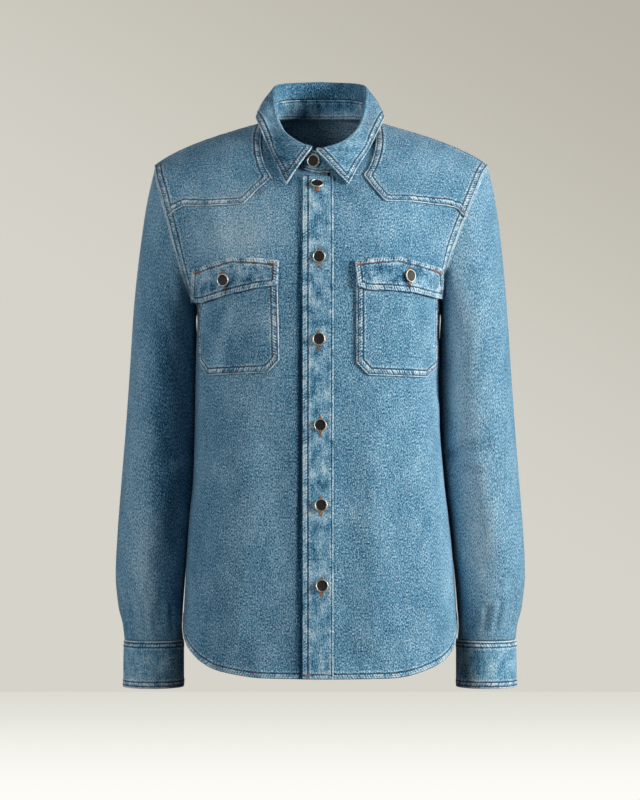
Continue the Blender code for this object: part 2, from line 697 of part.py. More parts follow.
class Sleeve:
    """A tube of tilted oval rings, which starts as the armhole's own ring."""

    def __init__(self, name, side, ring):
        self.folds = ARM_FOLDS[name]
        self.side = side
        self.ring = ring
        self.turns = self.ring_turns()

    def section(self, share, turn):
        """A point of the plain oval: turn 0 is the outer side, a quarter on is the front."""
        word = "right" if self.side == RIGHT else "left"
        columns = "outer", "outer_z", f"inner_{word}", "inner_z", f"middle_{word}", "half_depth"
        row = smooth(table(ARMS, "share")[:, 0], table(ARMS, *columns), share)
        outer, outer_z, inner, inner_z, middle_y, half_depth = np.moveaxis(row, -1, 0)
        swing = np.cos(turn)
        x = (outer + inner) / 2 + swing * (outer - inner) / 2
        y = middle_y - np.sin(turn) * half_depth
        z = (outer_z + inner_z) / 2 + swing * (outer_z - inner_z) / 2
        return np.stack([self.side * x, y, z], axis=-1)

    def ring_turns(self):
        """The turn of each point of the armhole, by its share of the way round each half."""
        step = np.linalg.norm(np.roll(self.ring, -1, axis=0) - self.ring, axis=1)
        round_ = np.concatenate([[0], np.cumsum(step)])
        tip = len(STATIONS)
        front = round_[: tip + 1] / round_[tip]
        back = (round_[tip:-1] - round_[tip]) / (round_[-1] - round_[tip])
        return np.concatenate([math.pi * (1 - front), -math.pi * back[1:]])

    def fold(self, share, turn):
        """How far the folds move a place out; nothing at the armhole and the cuff."""
        share, turn = np.broadcast_arrays(share, turn)
        scale = np.array([ARM_LENGTH, math.radians(ARM_RADIUS)])
        lift = fold_lift(
            np.stack([share, np.degrees(turn) % (2 * HALF_TURN)], axis=-1) * scale,
            table(self.folds, "share_start", "turn_start") * scale,
            table(self.folds, "share_end", "turn_end") * scale,
            table(self.folds, "width")[:, 0],
            table(self.folds, "depth")[:, 0],
        )
        return lift * eased(share / ARMHOLE_FADE) * eased((1 - share) / CUFF_FADE)

    def grid(self):
        share = np.array(ARM_SHARES)[:, None]
        plain = self.section(share + 0 * self.turns[None], self.turns[None] + 0 * share)
        start = self.section(0 * self.turns, self.turns)
        fade = eased(1 - share / ARMHOLE_FADE)
        grid = plain + fade[..., None] * (self.ring - start)[None]
        outwards = unit(grid - grid.mean(axis=1, keepdims=True))
        return grid + self.fold(share, self.turns[None])[..., None] * outwards

    def sheet(self, name):
        grid = self.grid()
        rows, columns = grid.shape[:2]
        inside = np.broadcast_to(grid.mean(axis=1, keepdims=True), grid.shape)
        quads = grid_quads(rows, columns, closed=True)
        return Sheet(name, grid, quads, CLOTH, "denim", inside)


def cuff_sheet(name, side):
    """A band round the wrist whose last part lies on its first."""
    turn = np.linspace(CUFF_START, CUFF_START + 360 + CUFF_LAP, CUFF_COLUMNS)
    past = (turn - (CUFF_START + 360 - CUFF_RAMP)) / CUFF_RAMP
    out = (DOUBLE + 2 * GAP) * np.clip(past, 0, 1)
    heights = table(CUFFS, "height")[:, 0]
    outer, inner, depth = np.split(table(CUFFS, "outer", "inner", "half_depth"), 3, axis=1)
    swing, lean = np.cos(np.radians(turn))[None], np.sin(np.radians(turn))[None]
    x = (outer + inner) / 2 + swing * ((outer - inner) / 2 + out)
    y = CUFF_MIDDLE_Y - lean * (depth + out)
    z = np.broadcast_to(heights[:, None], x.shape)
    points = np.stack([side * x, y, z], axis=-1)
    middle = np.stack([side * (outer + inner) / 2 + 0 * x, CUFF_MIDDLE_Y + 0 * y, z], axis=-1)
    quads = grid_quads(len(CUFFS), CUFF_COLUMNS)
    return Sheet(name, points, quads, DOUBLE, "denim_dark", middle)


def lay(name, half, x, z, lift, thickness, finish):
    """A piece that lies on a half: its points seen from the front, moved out by lift and wall."""
    share, station = half.locate(x, z)
    lift = np.broadcast_to(np.asarray(lift, float) + thickness, share.shape)
    points = half.point(share, station, lift)
    rows, columns = share.shape
    inside = points - half.normal(share, station)
    return Sheet(name, points, grid_quads(rows, columns), thickness, finish, inside)


def along(corners, count):
    """Evenly spread points along straight runs between corners, as outward place and height."""
    places = table(corners, "out", "height")
    step = np.linalg.norm(np.diff(places, axis=0), axis=1)
    run = np.concatenate([[0.0], np.cumsum(step)])
    at = np.linspace(0, run[-1], count)
    return np.stack([np.interp(at, run, places[:, k]) for k in range(2)], axis=-1)


def between(first, last, shares):
    """Points part of the way from one run of points to another, a row for each share."""
    shares = np.asarray(shares, float)[:, None, None]
    return first[None] * (1 - shares) + last[None] * shares


def yoke_sheet(name, half, corners, top_share):
    """From the cut lower edge up to the shoulder seam, in shares and stations of the front."""
    lower = along(corners, YOKE_COLUMNS - 1)
    share, station = half.locate(half.side * lower[:, 0], lower[:, 1])
    share = np.append(share, YOKE_ARMHOLE)
    station = np.append(station, YOKE_ARMHOLE_STATION)
    bottom = np.stack([share, station], axis=-1)
    across = np.linspace(top_share, YOKE_ARMHOLE, YOKE_COLUMNS)
    top = np.stack([across, np.full(YOKE_COLUMNS, YOKE_TOP_STATION)], axis=-1)
    places = between(bottom, top, YOKE_ROWS)
    share, station = places[..., 0], places[..., 1]
    points = half.point(share, station, np.full(share.shape, LIFT + CLOTH))
    inside = points - half.normal(share, station)
    quads = grid_quads(len(YOKE_ROWS), YOKE_COLUMNS)
    return Sheet(name, points, quads, CLOTH, "denim_pale", inside)


def pocket_sheet(name, half, corners):
    """Rows between the two sides of the pocket, which draw in at the cut corners."""
    places = table(corners, "out", "height")
    rows = np.array(POCKET_ROWS)
    inner = np.stack([np.interp(rows, (0, POCKET_CUT, 1), places[:3, k]) for k in range(2)], axis=-1)
    outer = np.stack(
        [np.interp(rows, (0, POCKET_CUT, 1), places[:2:-1, k]) for k in range(2)], axis=-1
    )
    grid = between(inner, outer, np.linspace(0, 1, POCKET_COLUMNS))
    x, z = half.side * grid[..., 0], grid[..., 1]
    return lay(name, half, x, z, POCKET_LIFT, CLOTH, "denim")


def flap_sheet(name, half, top, bottom):
    """From the sewn top edge to the loose bottom edge, which stands over the pocket."""
    grid = between(
        along(top, FLAP_COLUMNS), along(bottom, FLAP_COLUMNS), [row.share for row in FLAP_ROWS]
    )
    lift = np.array([row.lift for row in FLAP_ROWS])[:, None]
    x, z = half.side * grid[..., 0], grid[..., 1]
    return lay(name, half, x, z, lift, FLAP_CLOTH, "denim_dark")


def placket_sheet(right, left):
    """A band whose points lie on the right front as far as its edge, then on the left front."""
    x, z = np.meshgrid(PLACKET_ACROSS, PLACKET_HEIGHTS)
    on_right = x <= -RIGHT_EDGE
    points = np.zeros(x.shape + (3,))
    for half, chosen in ((right, on_right), (left, ~on_right)):
        share, station = half.locate(x[chosen], z[chosen])
        lift = np.full(share.shape, LIFT + PLACKET_THICK)
        points[chosen] = half.point(share, station, lift)
    inside = points + np.array([0.0, 1.0, 0.0])
    quads = grid_quads(len(PLACKET_HEIGHTS), len(PLACKET_ACROSS))
    return Sheet("placket", points, quads, PLACKET_THICK, "denim_dark", inside)


def turn_angle(turn):
    """A turn round the neck as degrees from the front, on either side."""
    return np.where(turn <= HALF_TURN, turn, 2 * HALF_TURN - turn)


def neck_out(turn):
    """The level direction away from the neck at a turn."""
    swing = np.radians(turn)
    level = np.stack([-np.sin(swing) / NECK_HALF_WIDTH, -np.cos(swing) / NECK_HALF_DEPTH], axis=-1)
    return np.concatenate([unit(level), np.zeros(level.shape[:-1] + (1,))], axis=-1)


def neck_point(turn, away, height):
    """A point at this distance from the neck ring and at this height."""
    point = neck_ring(turn_angle(turn))
    ring_side = np.where(turn <= HALF_TURN, RIGHT, LEFT)
    point[..., 0] *= ring_side
    point[..., 2] = height
    return point + neck_out(turn) * np.asarray(away, float)[..., None]


def neck_read(turn, column):
    return smooth(table(NECK, "angle")[:, 0], table(NECK, column), np.abs(turn_angle(turn)))


def stand_under(turn):
    """How far inside the ring the stand's lapped end runs."""
    return STAND_UNDER * (1 - eased((turn - STAND_UNDER_ENDS) / STAND_UNDER_FADE))


def stand_turns(half):
    """The turns at which the fronts and the back end on the neck, then the lap."""
    stations = np.array(STATIONS, float)

    def angles(one):
        chosen = stations[stations >= one.corner]
        share = (chosen - one.corner) / -one.corner
        return one.neck_start + (SHOULDER_ANGLE - one.neck_start) * share

    right = np.concatenate([angles(half["front_right"]), angles(half["back_right"])[::-1][1:]])
    left = np.concatenate([angles(half["back_left"])[1:], angles(half["front_left"])[::-1][1:]])
    return np.concatenate([right, 2 * HALF_TURN - left, STAND_LAP])


def stand_point(turn, climb):
    """A point of the stand's outer face, by turn and by share of its height."""
    base, top = neck_read(turn, "base"), neck_read(turn, "stand_top")
    corner = np.clip((turn - STAND_CORNER_TURN) / (STAND_LAP[-1] - STAND_CORNER_TURN), 0, 1)
    top = top - (top - base) * STAND_CORNER_DROP * corner**2
    lapped = np.clip((turn - STAND_LAP[0]) / STAND_LAP_RUN + 1, 0, 1)
    base = base + STAND_LAP_LIFT * lapped
    away = -stand_under(turn) - neck_read(turn, "lean") * climb
    return neck_point(turn, away, base + (top - base) * climb)


def stand_sheet(half):
    turn = stand_turns(half)
    grid = stand_point(turn[None] + np.zeros((STAND_ROWS, 1)), np.linspace(0, 1, STAND_ROWS)[:, None])
    inside = grid - neck_out(turn)[None]
    quads = grid_quads(STAND_ROWS, len(turn))
    return Sheet("collar_stand", grid, quads, DOUBLE, "denim_dark", inside)


def leaf_edge(half, side):
    """The outer edge of the leaf by angle; where it lies on a front it follows that front."""
    out = table(LEAF_EDGE, "right" if side == RIGHT else "left")[:, 0]
    y, z, lying = table(LEAF_EDGE, "y", "z", "lying").T
    share, station = half.locate(side * out, z)
    on_front = half.point(share, station, np.full(len(out), LEAF_LIFT))
    return np.stack([side * out, np.where(lying > 0, on_front[:, 1], y), z], axis=-1)


def leaf_sheet(half):
    """Rows across the leaf: up from the stand, over the fold and down to the outer edge."""
    turn = np.array(LEAF_TURNS, float)
    lean, under = neck_read(turn, "lean"), stand_under(turn)
    top, fold = neck_read(turn, "stand_top"), neck_read(turn, "fold")
    inner = -lean - DOUBLE - under
    rows = [
        neck_point(turn, inner, top + LEAF_GAP),
        neck_point(turn, inner - LEAF_LEAN_IN, np.maximum(fold - LEAF_CREST, (top + fold) / 2)),
        neck_point(turn, (inner - lean + LEAF_OVER) / 2, fold),
        neck_point(turn, -lean + LEAF_OVER, fold - LEAF_CREST),
    ]
    edges = []
    for side, name, start, end in (
        (RIGHT, "front_right", LEAF_TURNS[0], HALF_TURN),
        (LEFT, "front_left", 2 * HALF_TURN - LEAF_TURNS[-1], HALF_TURN),
    ):
        angle = turn_angle(turn)
        chosen = turn <= HALF_TURN if side == RIGHT else turn > HALF_TURN
        share = (angle[chosen] - start) / (end - start) * HALF_TURN
        edges.append(smooth(table(LEAF_EDGE, "angle")[:, 0], leaf_edge(half[name], side), share))
    edge = np.concatenate(edges)
    for share in LEAF_FALL:
        belly = LEAF_BULGE * math.sin(math.pi * share) * neck_out(turn)
        rows.append(rows[3] * (1 - share) + edge * share + belly)
    grid = np.stack(rows)
    inside = np.broadcast_to(neck_point(turn, -lean, fold - LEAF_INSIDE), grid.shape)
    quads = grid_quads(*grid.shape[:2])
    return Sheet("collar_leaf", grid, quads, LEAF_THICK, "denim", inside)


def strip_sheet(name, sleeve):
    """A strip on the sleeve, from its own rings moved out."""
    turn = np.radians(STRIP_TURN + np.linspace(-STRIP_HALF_TURN, STRIP_HALF_TURN, 3))[None]
    share = np.linspace(STRIP_TOP, STRIP_BOTTOM, STRIP_ROWS)[:, None]
    points = sleeve.section(share + 0 * turn, turn + 0 * share)
    middle = (
        sleeve.section(share + 0 * turn, 0 * turn + 0 * share)
        + sleeve.section(share + 0 * turn, math.pi + 0 * turn + 0 * share)
    ) / 2
    lifted = points + unit(points - middle) * (LIFT + CLOTH)
    return Sheet(name, lifted, grid_quads(STRIP_ROWS, 3), CLOTH, "denim_pale", middle)


def button_object(name, place, facing):
    """A disc with a raised rim: its profile turned about the direction that it faces."""
    facing = unit(np.asarray(facing, float))
    aside = unit(np.cross(facing, (0.3, 0.2, 1.0)))
    other = np.cross(facing, aside)
    swing = np.linspace(0, 2 * math.pi, BUTTON_SIDES, endpoint=False)[:, None]
    ring = np.cos(swing) * aside + np.sin(swing) * other
    points = [place + facing * BUTTON_PROFILE[0][1]]
    for radius, rise in BUTTON_PROFILE[1:-1]:
        points.extend(place + ring * radius + facing * rise)
    points.append(place + facing * BUTTON_PROFILE[-1][1])
    rings = len(BUTTON_PROFILE) - 2
    quads = grid_quads(rings, BUTTON_SIDES, closed=True, start=1)
    around = np.arange(BUTTON_SIDES)
    following = (around + 1) % BUTTON_SIDES
    last = 1 + (rings - 1) * BUTTON_SIDES
    end = len(points) - 1
    faces = [tuple(int(k) for k in quad) for quad in quads]
    faces += [(0, int(b), int(a)) for a, b in zip(1 + around, 1 + following)]
    faces += [(end, int(a), int(b)) for a, b in zip(last + around, last + following)]
    make_object(name, np.array(points), faces, "button")


def add_buttons(half, cuffs):
    right = half["front_right"]
    for button in FRONT_BUTTONS:
        share, station = right.locate([button.out], [button.height])
        place = right.point(share, station, LIFT + PLACKET_THICK + BUTTON_GAP)[0]
        button_object(button.name, place, right.normal(share, station)[0])
    for button, name in zip(FLAP_BUTTONS, ("front_right", "front_left")):
        one = half[name]
        share, station = one.locate([one.side * button.out], [button.height])
        place = one.point(share, station, FLAP_BUTTON_LIFT)[0]
        button_object(button.name, place, one.normal(share, station)[0])
    turn = np.array([NECK_BUTTON_TURN])
    facing = neck_out(turn)[0]
    place = stand_point(turn, np.array([NECK_BUTTON_RISE]))[0] + facing * BUTTON_GAP
    button_object("button_neck", place, facing)
    for side, name in cuffs:
        swing = math.radians(CUFF_BUTTON_TURN)
        middle = CUFFS[1]
        out = DOUBLE + 2 * GAP + BUTTON_GAP
        radius_x = (middle.outer - middle.inner) / 2 + out
        x = (middle.outer + middle.inner) / 2 + math.cos(swing) * radius_x
        y = CUFF_MIDDLE_Y - math.sin(swing) * (middle.half_depth + out)
        place = np.array([side * x, y, CUFF_BUTTON_HEIGHT])
        button_object(name, place, (side * math.cos(swing), -math.sin(swing), 0.0))


def main():
    for old in list(bpy.data.objects):
        bpy.data.objects.remove(old, do_unlink=True)
    half = halves()
    right, left = half["front_right"], half["front_left"]
    fronts = [
        panel_sheet("front_right", [panel_grid(right, "front_right")]),
        panel_sheet("front_left", [panel_grid(left, "front_left")]),
    ]
    back = panel_sheet(
        "back", [panel_grid(half["back_right"], "back"), panel_grid(half["back_left"], "back")]
    )
    arms = {
        "sleeve_right": Sleeve("sleeve_right", RIGHT, armhole(right, half["back_right"])),
        "sleeve_left": Sleeve("sleeve_left", LEFT, armhole(left, half["back_left"])),
    }
    skin = fronts + [back, stand_sheet(half)]
    skin += [sleeve.sheet(name) for name, sleeve in arms.items()]
    marry(skin)
    for sheet in skin:
        sheet.pull_in(SEAM_PULL)
    laid = [
        leaf_sheet(half),
        placket_sheet(right, left),
        yoke_sheet("yoke_right", right, YOKE_RIGHT, YOKE_TOP_OUT["right"]),
        yoke_sheet("yoke_left", left, YOKE_LEFT, YOKE_TOP_OUT["left"]),
        pocket_sheet("pocket_right", right, POCKET_RIGHT),
        pocket_sheet("pocket_left", left, POCKET_LEFT),
        flap_sheet("flap_right", right, FLAP_TOP_RIGHT, FLAP_BOTTOM_RIGHT),
        flap_sheet("flap_left", left, FLAP_TOP_LEFT, FLAP_BOTTOM_LEFT),
        strip_sheet("sleeve_strip_right", arms["sleeve_right"]),
        strip_sheet("sleeve_strip_left", arms["sleeve_left"]),
        cuff_sheet("cuff_right", RIGHT),
        cuff_sheet("cuff_left", LEFT),
    ]
    for sheet in skin + laid:
        sheet.build()
    add_buttons(half, ((RIGHT, "button_cuff_right"), (LEFT, "button_cuff_left")))


main()
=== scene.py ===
"""A denim shirt, hollow and filled out as if worn: the looks of its cut and sewn pieces.

The frame has -Y out of the buttoned front, +X to the wearer's left and +Z up, with the origin in
the neck. The forms below are worked out in millimetres and the meshes are in metres. Each cloth
piece is a grid of points read from the form that carries it, raised by its folds, its seam relief
and its own thickness. Thread, buttons and buttonholes are pieces of their own on that cloth.
"""

import logging
import math
from dataclasses import dataclass, field
from enum import Enum
from typing import Callable, Sequence

import bmesh
import bpy
import numpy as np
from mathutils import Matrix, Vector


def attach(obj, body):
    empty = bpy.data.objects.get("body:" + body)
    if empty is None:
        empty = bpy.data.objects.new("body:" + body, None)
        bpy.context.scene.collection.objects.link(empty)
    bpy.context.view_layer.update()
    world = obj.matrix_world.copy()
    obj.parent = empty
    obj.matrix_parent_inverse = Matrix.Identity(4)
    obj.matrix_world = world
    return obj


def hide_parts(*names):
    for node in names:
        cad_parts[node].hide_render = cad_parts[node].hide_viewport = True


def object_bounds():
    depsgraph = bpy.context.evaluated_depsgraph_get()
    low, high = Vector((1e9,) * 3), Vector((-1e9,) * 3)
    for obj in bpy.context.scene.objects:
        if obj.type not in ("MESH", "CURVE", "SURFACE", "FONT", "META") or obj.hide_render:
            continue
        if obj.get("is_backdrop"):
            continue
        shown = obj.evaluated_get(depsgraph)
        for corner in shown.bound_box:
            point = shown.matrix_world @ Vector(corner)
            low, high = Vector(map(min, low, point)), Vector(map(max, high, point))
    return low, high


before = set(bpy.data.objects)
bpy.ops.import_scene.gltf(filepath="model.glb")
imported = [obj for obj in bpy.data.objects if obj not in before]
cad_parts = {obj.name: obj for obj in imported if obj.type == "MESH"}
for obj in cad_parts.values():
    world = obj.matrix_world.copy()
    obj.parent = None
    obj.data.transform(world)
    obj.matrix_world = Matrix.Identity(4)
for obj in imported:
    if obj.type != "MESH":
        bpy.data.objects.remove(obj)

logging.basicConfig(level=logging.INFO, format="%(message)s")
LOG = logging.getLogger("shirt")

MM = 0.001
Array = np.ndarray
Triple = tuple[float, float, float]
Groups = dict[str, bpy.types.NodeTree]
Material = bpy.types.Material
Socket = bpy.types.NodeSocket
CAD_BOX = [list(corner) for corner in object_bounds()]


# Sizes that the solids share


class Side(Enum):
    """The wearer's side, with its sign along X."""

    RIGHT = -1.0
    LEFT = 1.0

    @property
    def word(self) -> str:
        """The side as it ends a node's name."""
        return self.name.lower()


@dataclass(frozen=True)
class Table:
    """Rows of numbers under named columns.

    Attributes:
        names: the columns' names in order.
        rows: the numbers.
    """

    names: str
    rows: tuple[tuple[float, ...], ...]

    def read(self, *names: str) -> Array:
        """The named columns side by side, or one column alone as a plain list of numbers.

        Args:
            names: the columns' names.

        Returns:
            The numbers, a row for each of the table's rows.
        """
        places = [self.names.split().index(name) for name in names]
        values = np.array(self.rows, float)[:, places]
        return values if len(names) > 1 else values[:, 0]

    def smooth(self, by: str, at: Array, *names: str) -> Array:
        """The named columns at places between the rows of a column that rises."""
        return smooth(self.read(by), self.read(*names), at)


CLOTH = 1.2
FLAP_CLOTH = 1.6
DOUBLE = 2.0
GAP = 0.3
PAINTED_SPOTS_BACK = 48.0
PAINTED_SPOTS_RUN = 30.0
LIFT = 0.95
POCKET_LIFT = 1.1
HALF_TURN = 180.0

NECK_HALF_WIDTH = 58.0
NECK_MIDDLE_Y = -5.0
NECK_HALF_DEPTH = 67.0
SHOULDER_ANGLE = 95.0
# The neck by degrees from the front, with the collar's heights and its lean
NECK = Table("angle base stand_top fold lean", (
    (0, -71, -44, -40, 1.0),
    (20, -66, -39, -34, 1.0),
    (45, -48, -25, -19.5, 2.0),
    (60, -34, -12, -7, 3.0),
    (80, -13, 7, 22, 3.0),
    (95, -1, 18, 38, 3.0),
    (120, 4, 25, 46, 4.0),
    (150, 6.5, 29, 50, 4.0),
    (180, 7, 30, 52, 4.0),
))
# Level rows of the body below the arms
LEVELS = Table("height right left front back", (
    (-690, 168, 167, -111, 104),
    (-600, 164, 164, -114, 104),
    (-535, 160.5, 160, -116, 103),
    (-480, 157, 154.5, -117, 100),
    (-430, 152, 148.5, -117, 96),
    (-360, 150, 143.5, -116, 92),
    (-294, 149, 143, -116, 95),
    (-228, 147, 144, -118, 103),
))
SIDE_Y = 2.0
LEVEL_IN_PULL = 0.66
LEVEL_SIDE_PULL = 0.62
UNDERARM = -228.0
RIGHT_EDGE = -10.0
LEFT_EDGE = 12.0
# Rows of the body above the arms, from the middle to the armhole
RISE_COLUMNS = ("station middle_y middle_z in_out in_y in_z right left "
                "arm_y arm_z pull_out pull_y pull_z")
FRONT_RISES = Table(RISE_COLUMNS, (
    (-200, -119, -200, 94, 0, 0, 155, 144.5, -30, -210, -16, -52, 2),
    (-160, -117, -160, 90, 0, 0, 167.5, 152.5, -52, -170, -42, -38, 2),
    (-112, -101, -112, 80, -3, 2, 181.5, 171.5, -48, -119, -52, -22, 6),
    (-71, -71, -70, 62, -8, -4, 190, 184.5, -36, -90, -58, -18, 12),
    (-35, -52, -48, 48, -10, -3, 196.5, 194, -17, -68, -52, -12, 20),
    (0, 1, -1, 39, 0, -13, 198, 201.5, 4, -56, -36, 0, 28.5),
))
BACK_RISES = Table(RISE_COLUMNS, (
    (-200, 107, -200, 94, 0, 0, 155, 146, 34, -208, -14, 50, 2),
    (-160, 109, -160, 90, 0, 0, 168, 157, 58, -167, -34, 34, 2),
    (-112, 106, -109, 82, 0, 0, 181.5, 174, 63, -119, -46, 24, 6),
    (-71, 98, -64, 76, 0, 2, 190, 187, 51, -90, -52, 20, 12),
    (-38, 62, 7, 54, 10, -2, 196.5, 195, 31, -72, -50, 12, 20),
    (0, 1, -1, 39, 0, -13, 198, 201.5, 4, -56, -36, 0, 28.5),
))
FRONT_CORNER = -71.0
BACK_CORNER = -38.0
# The hem's height by the share of the way to the side seam
HEM = Table("share front_right front_left back", (
    (0, -661, -661, -667),
    (0.25, -660.5, -660.5, -667),
    (0.5, -653.5, -650.5, -660),
    (0.75, -633, -632, -640),
    (0.9, -615, -613, -617),
    (1, -600, -600, -600),
))
STATIONS = (-228, -214, -200, -180, -160, -136, -112, -91, -71, -60, -49, -38, -28, -18, -9, 0)
# Rings of the sleeve by the share of the way down it
ARM_COLUMNS = ("share outer outer_z inner_right inner_left inner_z "
               "middle_right middle_left half_depth")
ARMS = Table(ARM_COLUMNS, (
    (0.0, 201.5, -56, 147, 144, -228, 4, 4, 62),
    (0.08, 211, -98, 148.7, 145.2, -241, 12, 8, 67),
    (0.17, 219, -158, 148.2, 143.8, -265, 22, 12, 69),
    (0.28, 225, -225, 147.8, 143.0, -302, 29, 15, 68),
    (0.40, 230, -300, 148.5, 143.2, -348, 31, 16, 65),
    (0.53, 235, -372, 150.2, 145.5, -396, 31, 16, 62),
    (0.66, 240.4, -440, 153.6, 150.4, -448, 29, 15, 60),
    (0.78, 244.8, -500, 158.6, 157, -502, 26, 13, 57),
    (0.87, 246.6, -545, 162.2, 161.8, -545, 22, 11, 54),
    (0.94, 242.8, -585, 165, 165, -585, 16, 9.5, 48),
    (0.98, 237, -608, 166, 166.5, -608, 11, 8.5, 41),
    (1.0, 235, -623, 164.5, 165.5, -623, 8, 8, 36.5),
))
SHARE_STEP, STATION_STEP = 1e-4, 1e-2
SHARE_MOVE, STATION_MOVE = 0.05, 10.0
ARMHOLE_FADE = 0.3
SIDE_FADE = 0.14
SHOULDER_FADE = 40.0
ARM_LENGTH = 570.0
ARM_RADIUS = 48.0
CUFF_FADE = 0.035
# Rings of the cuff
CUFFS = Table("height outer inner half_depth", (
    (-623.5, 235, 164, 36.5),
    (-630, 236, 163.5, 37),
    (-672, 236.5, 163.5, 37),
    (-680, 236.5, 164, 36.5),
))
CUFF_MIDDLE_Y = 8.0
CUFF_START = 285.0
CUFF_LAP = 42.0
CUFF_RAMP = 30.0
STAND_UNDER = 2.5
STAND_UNDER_ENDS = 24.0
STAND_UNDER_FADE = 26.0
STAND_LAP_START = 354.0
STAND_LAP_END = 382.3
STAND_CORNER_TURN = 374.0
STAND_CORNER_DROP = 0.42
STAND_LAP_LIFT = 1.8
LEAF_GAP = 0.9
# Places on the collar leaf's outer edge by degrees from its point
LEAF_EDGE = Table("angle right left y z lying", (
    (0, 40, 34, -92, -83, 1),
    (25, 50, 45, -80, -61, 1),
    (48, 60, 58, -62, -39, 1),
    (70, 69.5, 69, -40, -17, 0),
    (90, 76.5, 76.5, -14, 1, 0),
    (110, 77, 77, 18, 4, 0),
    (130, 64, 64, 50, 4, 0),
    (155, 36, 36, 74, 1, 0),
    (180, 0, 0, 81, 0, 0),
))
LEAF_START, LEAF_END = 10.0, 363.5
LEAF_THICK = 1.8
LEAF_BULGE = 3.0
LEAF_LIFT = 5.0
LEAF_OVER = 4.4
LEAF_CREST = 3.5
LEAF_BARE_ROWS = 26
LEAF_FALL = (0.25, 0.5, 0.75, 1.0)
# Corners of the laid pieces, outward place and height, seen from the front
YOKE_CORNERS = {
    Side.RIGHT: (
        (72, -89), (89, -107), (133, -109), (160, -107), (171, -112),
    ),
    Side.LEFT: (
        (61.5, -87), (76, -104), (108, -104), (150, -107), (162, -110),
    ),
}
YOKE_TOP_OUT = {Side.RIGHT: 0.055, Side.LEFT: 0.035}
YOKE_ARMHOLE = 0.994
YOKE_ARMHOLE_STATION = -113.0
YOKE_TOP_STATION = -0.8
POCKET_CORNERS = {
    Side.RIGHT: (
        (49.3, -188), (47, -289.5), (60.3, -304), (131.5, -307), (141.5, -292),
        (142, -202),
    ),
    Side.LEFT: (
        (42, -190), (42, -292.5), (56, -307), (125.3, -309.5), (136.8, -297.5),
        (137, -200),
    ),
}
POCKET_CUT = 0.86
FLAP_TOPS = {
    Side.RIGHT: (
        (47, -174), (74, -170.5), (102, -169), (150.5, -181.5),
    ),
    Side.LEFT: (
        (39.5, -174), (65, -170.5), (90, -168.5), (143, -180),
    ),
}
FLAP_BOTTOMS = {
    Side.RIGHT: (
        (48, -202.5), (74, -205.5), (107, -212), (136, -219), (150.5, -217),
    ),
    Side.LEFT: (
        (42.7, -204), (57, -208), (80, -208), (107, -210), (130, -215.5), (142, -216),
    ),
}
PLACKET_LEFT, PLACKET_RIGHT = -20.5, 15.5
PLACKET_BOTTOM, PLACKET_TOP = -660.7, -74.5
PLACKET_THICK = 1.8
STRIP_TURN = 303.0
STRIP_HALF_TURN = 15.0
STRIP_TOP = 0.82
STRIP_BOTTOM = 0.997
# The button's face by radius and rise, and the middle and the half sizes of its rim's section
BUTTON_FACE = (
    (0.02, 0.15), (2.4, 0.15), (2.6, 0.2), (5.9, 0.9), (6.8, 1.3), (6.6, 2.2),
    (6.1, 2.25), (5.6, 1.9), (5.0, 1.8), (2.5, 1.87), (0.02, 1.9),
)
RIM_MIDDLE, RIM_SIZE = (6.85, 1.85), (0.65, 0.95)
RIM_POINTS = 14
HOLE_LENGTH = 21.0
FLAP_HOLE_LENGTH = 20.0
HOLE_HALF_WIDTH = 1.35
HOLE_END = 1.3
HOLE_STITCHES = 46
HOLE_STITCH_LENGTH, HOLE_STITCH_RADIUS = 2.5, 0.5
FRONT_BUTTONS = {
    "button_1": (-3.5, -85.5),
    "button_2": (-0.6, -170),
    "button_3": (-1.2, -265),
    "button_4": (0.6, -365),
    "button_5": (1.3, -458),
    "button_6": (2.3, -551.5),
}
FLAP_BUTTONS = {Side.RIGHT: (110, -195), Side.LEFT: (101.5, -191)}
FLAP_BUTTON_LIFT = 5.2
NECK_BUTTON_TURN = 367.5
NECK_BUTTON_RISE = 0.5
CUFF_BUTTON_TURN = 308.0
CUFF_BUTTON_HEIGHT = -651.0
BUTTON_GAP = 0.4
FRONT_BUTTON_TILTS = (
    (0.05, 0.2), (-0.12, 0.1), (0.05, 0.08), (0.0, -0.06), (0.1, 0.05), (0.14, 0.1),
)
TWO_ROWS = (1.8, 8.0)
SEAM_REACH = 40.0
SEAMS_APART = 1000.0
STITCH_PITCH = 3.3
STITCH_LENGTH = 2.55
STITCH_RADIUS = 0.42
BAR_PITCH = 0.62
BAR_WIDTH = 2.2
SHANK = 0.7

# The large folds, which the solids have too: start, end, half width and depth, where the start
# and the end are outward place and height, or for an arm share of its length and turn
FOLDS = {
    "front_right": (
        (128, -116, 118, -170, 24, 2.4), (101, -346, 104, -600, 34, 2.8),
        (158, -128, 146, -204, 22, -2.4), (52, -390, 48, -640, 30, -2.2),
        (70, -600, 92, -650, 24, -1.8),
    ),
    "front_left": (
        (138, -122, 112, -160, 30, -1.8), (66, -330, 60, -600, 40, 2.4),
        (118, -345, 134, -600, 36, 2.4), (128, -312, 100, -372, 26, -2.0),
        (38, -420, 36, -630, 28, -1.6),
    ),
    "back_right": (
        (118, -215, 84, -330, 34, -3.0), (66, -360, 74, -640, 44, -4.0),
        (120, -380, 126, -600, 34, 2.4),
    ),
    "back_left": (
        (122, -220, 92, -310, 32, -2.6), (58, -330, 66, -630, 46, -4.2),
        (112, -350, 122, -610, 36, 2.6),
    ),
}
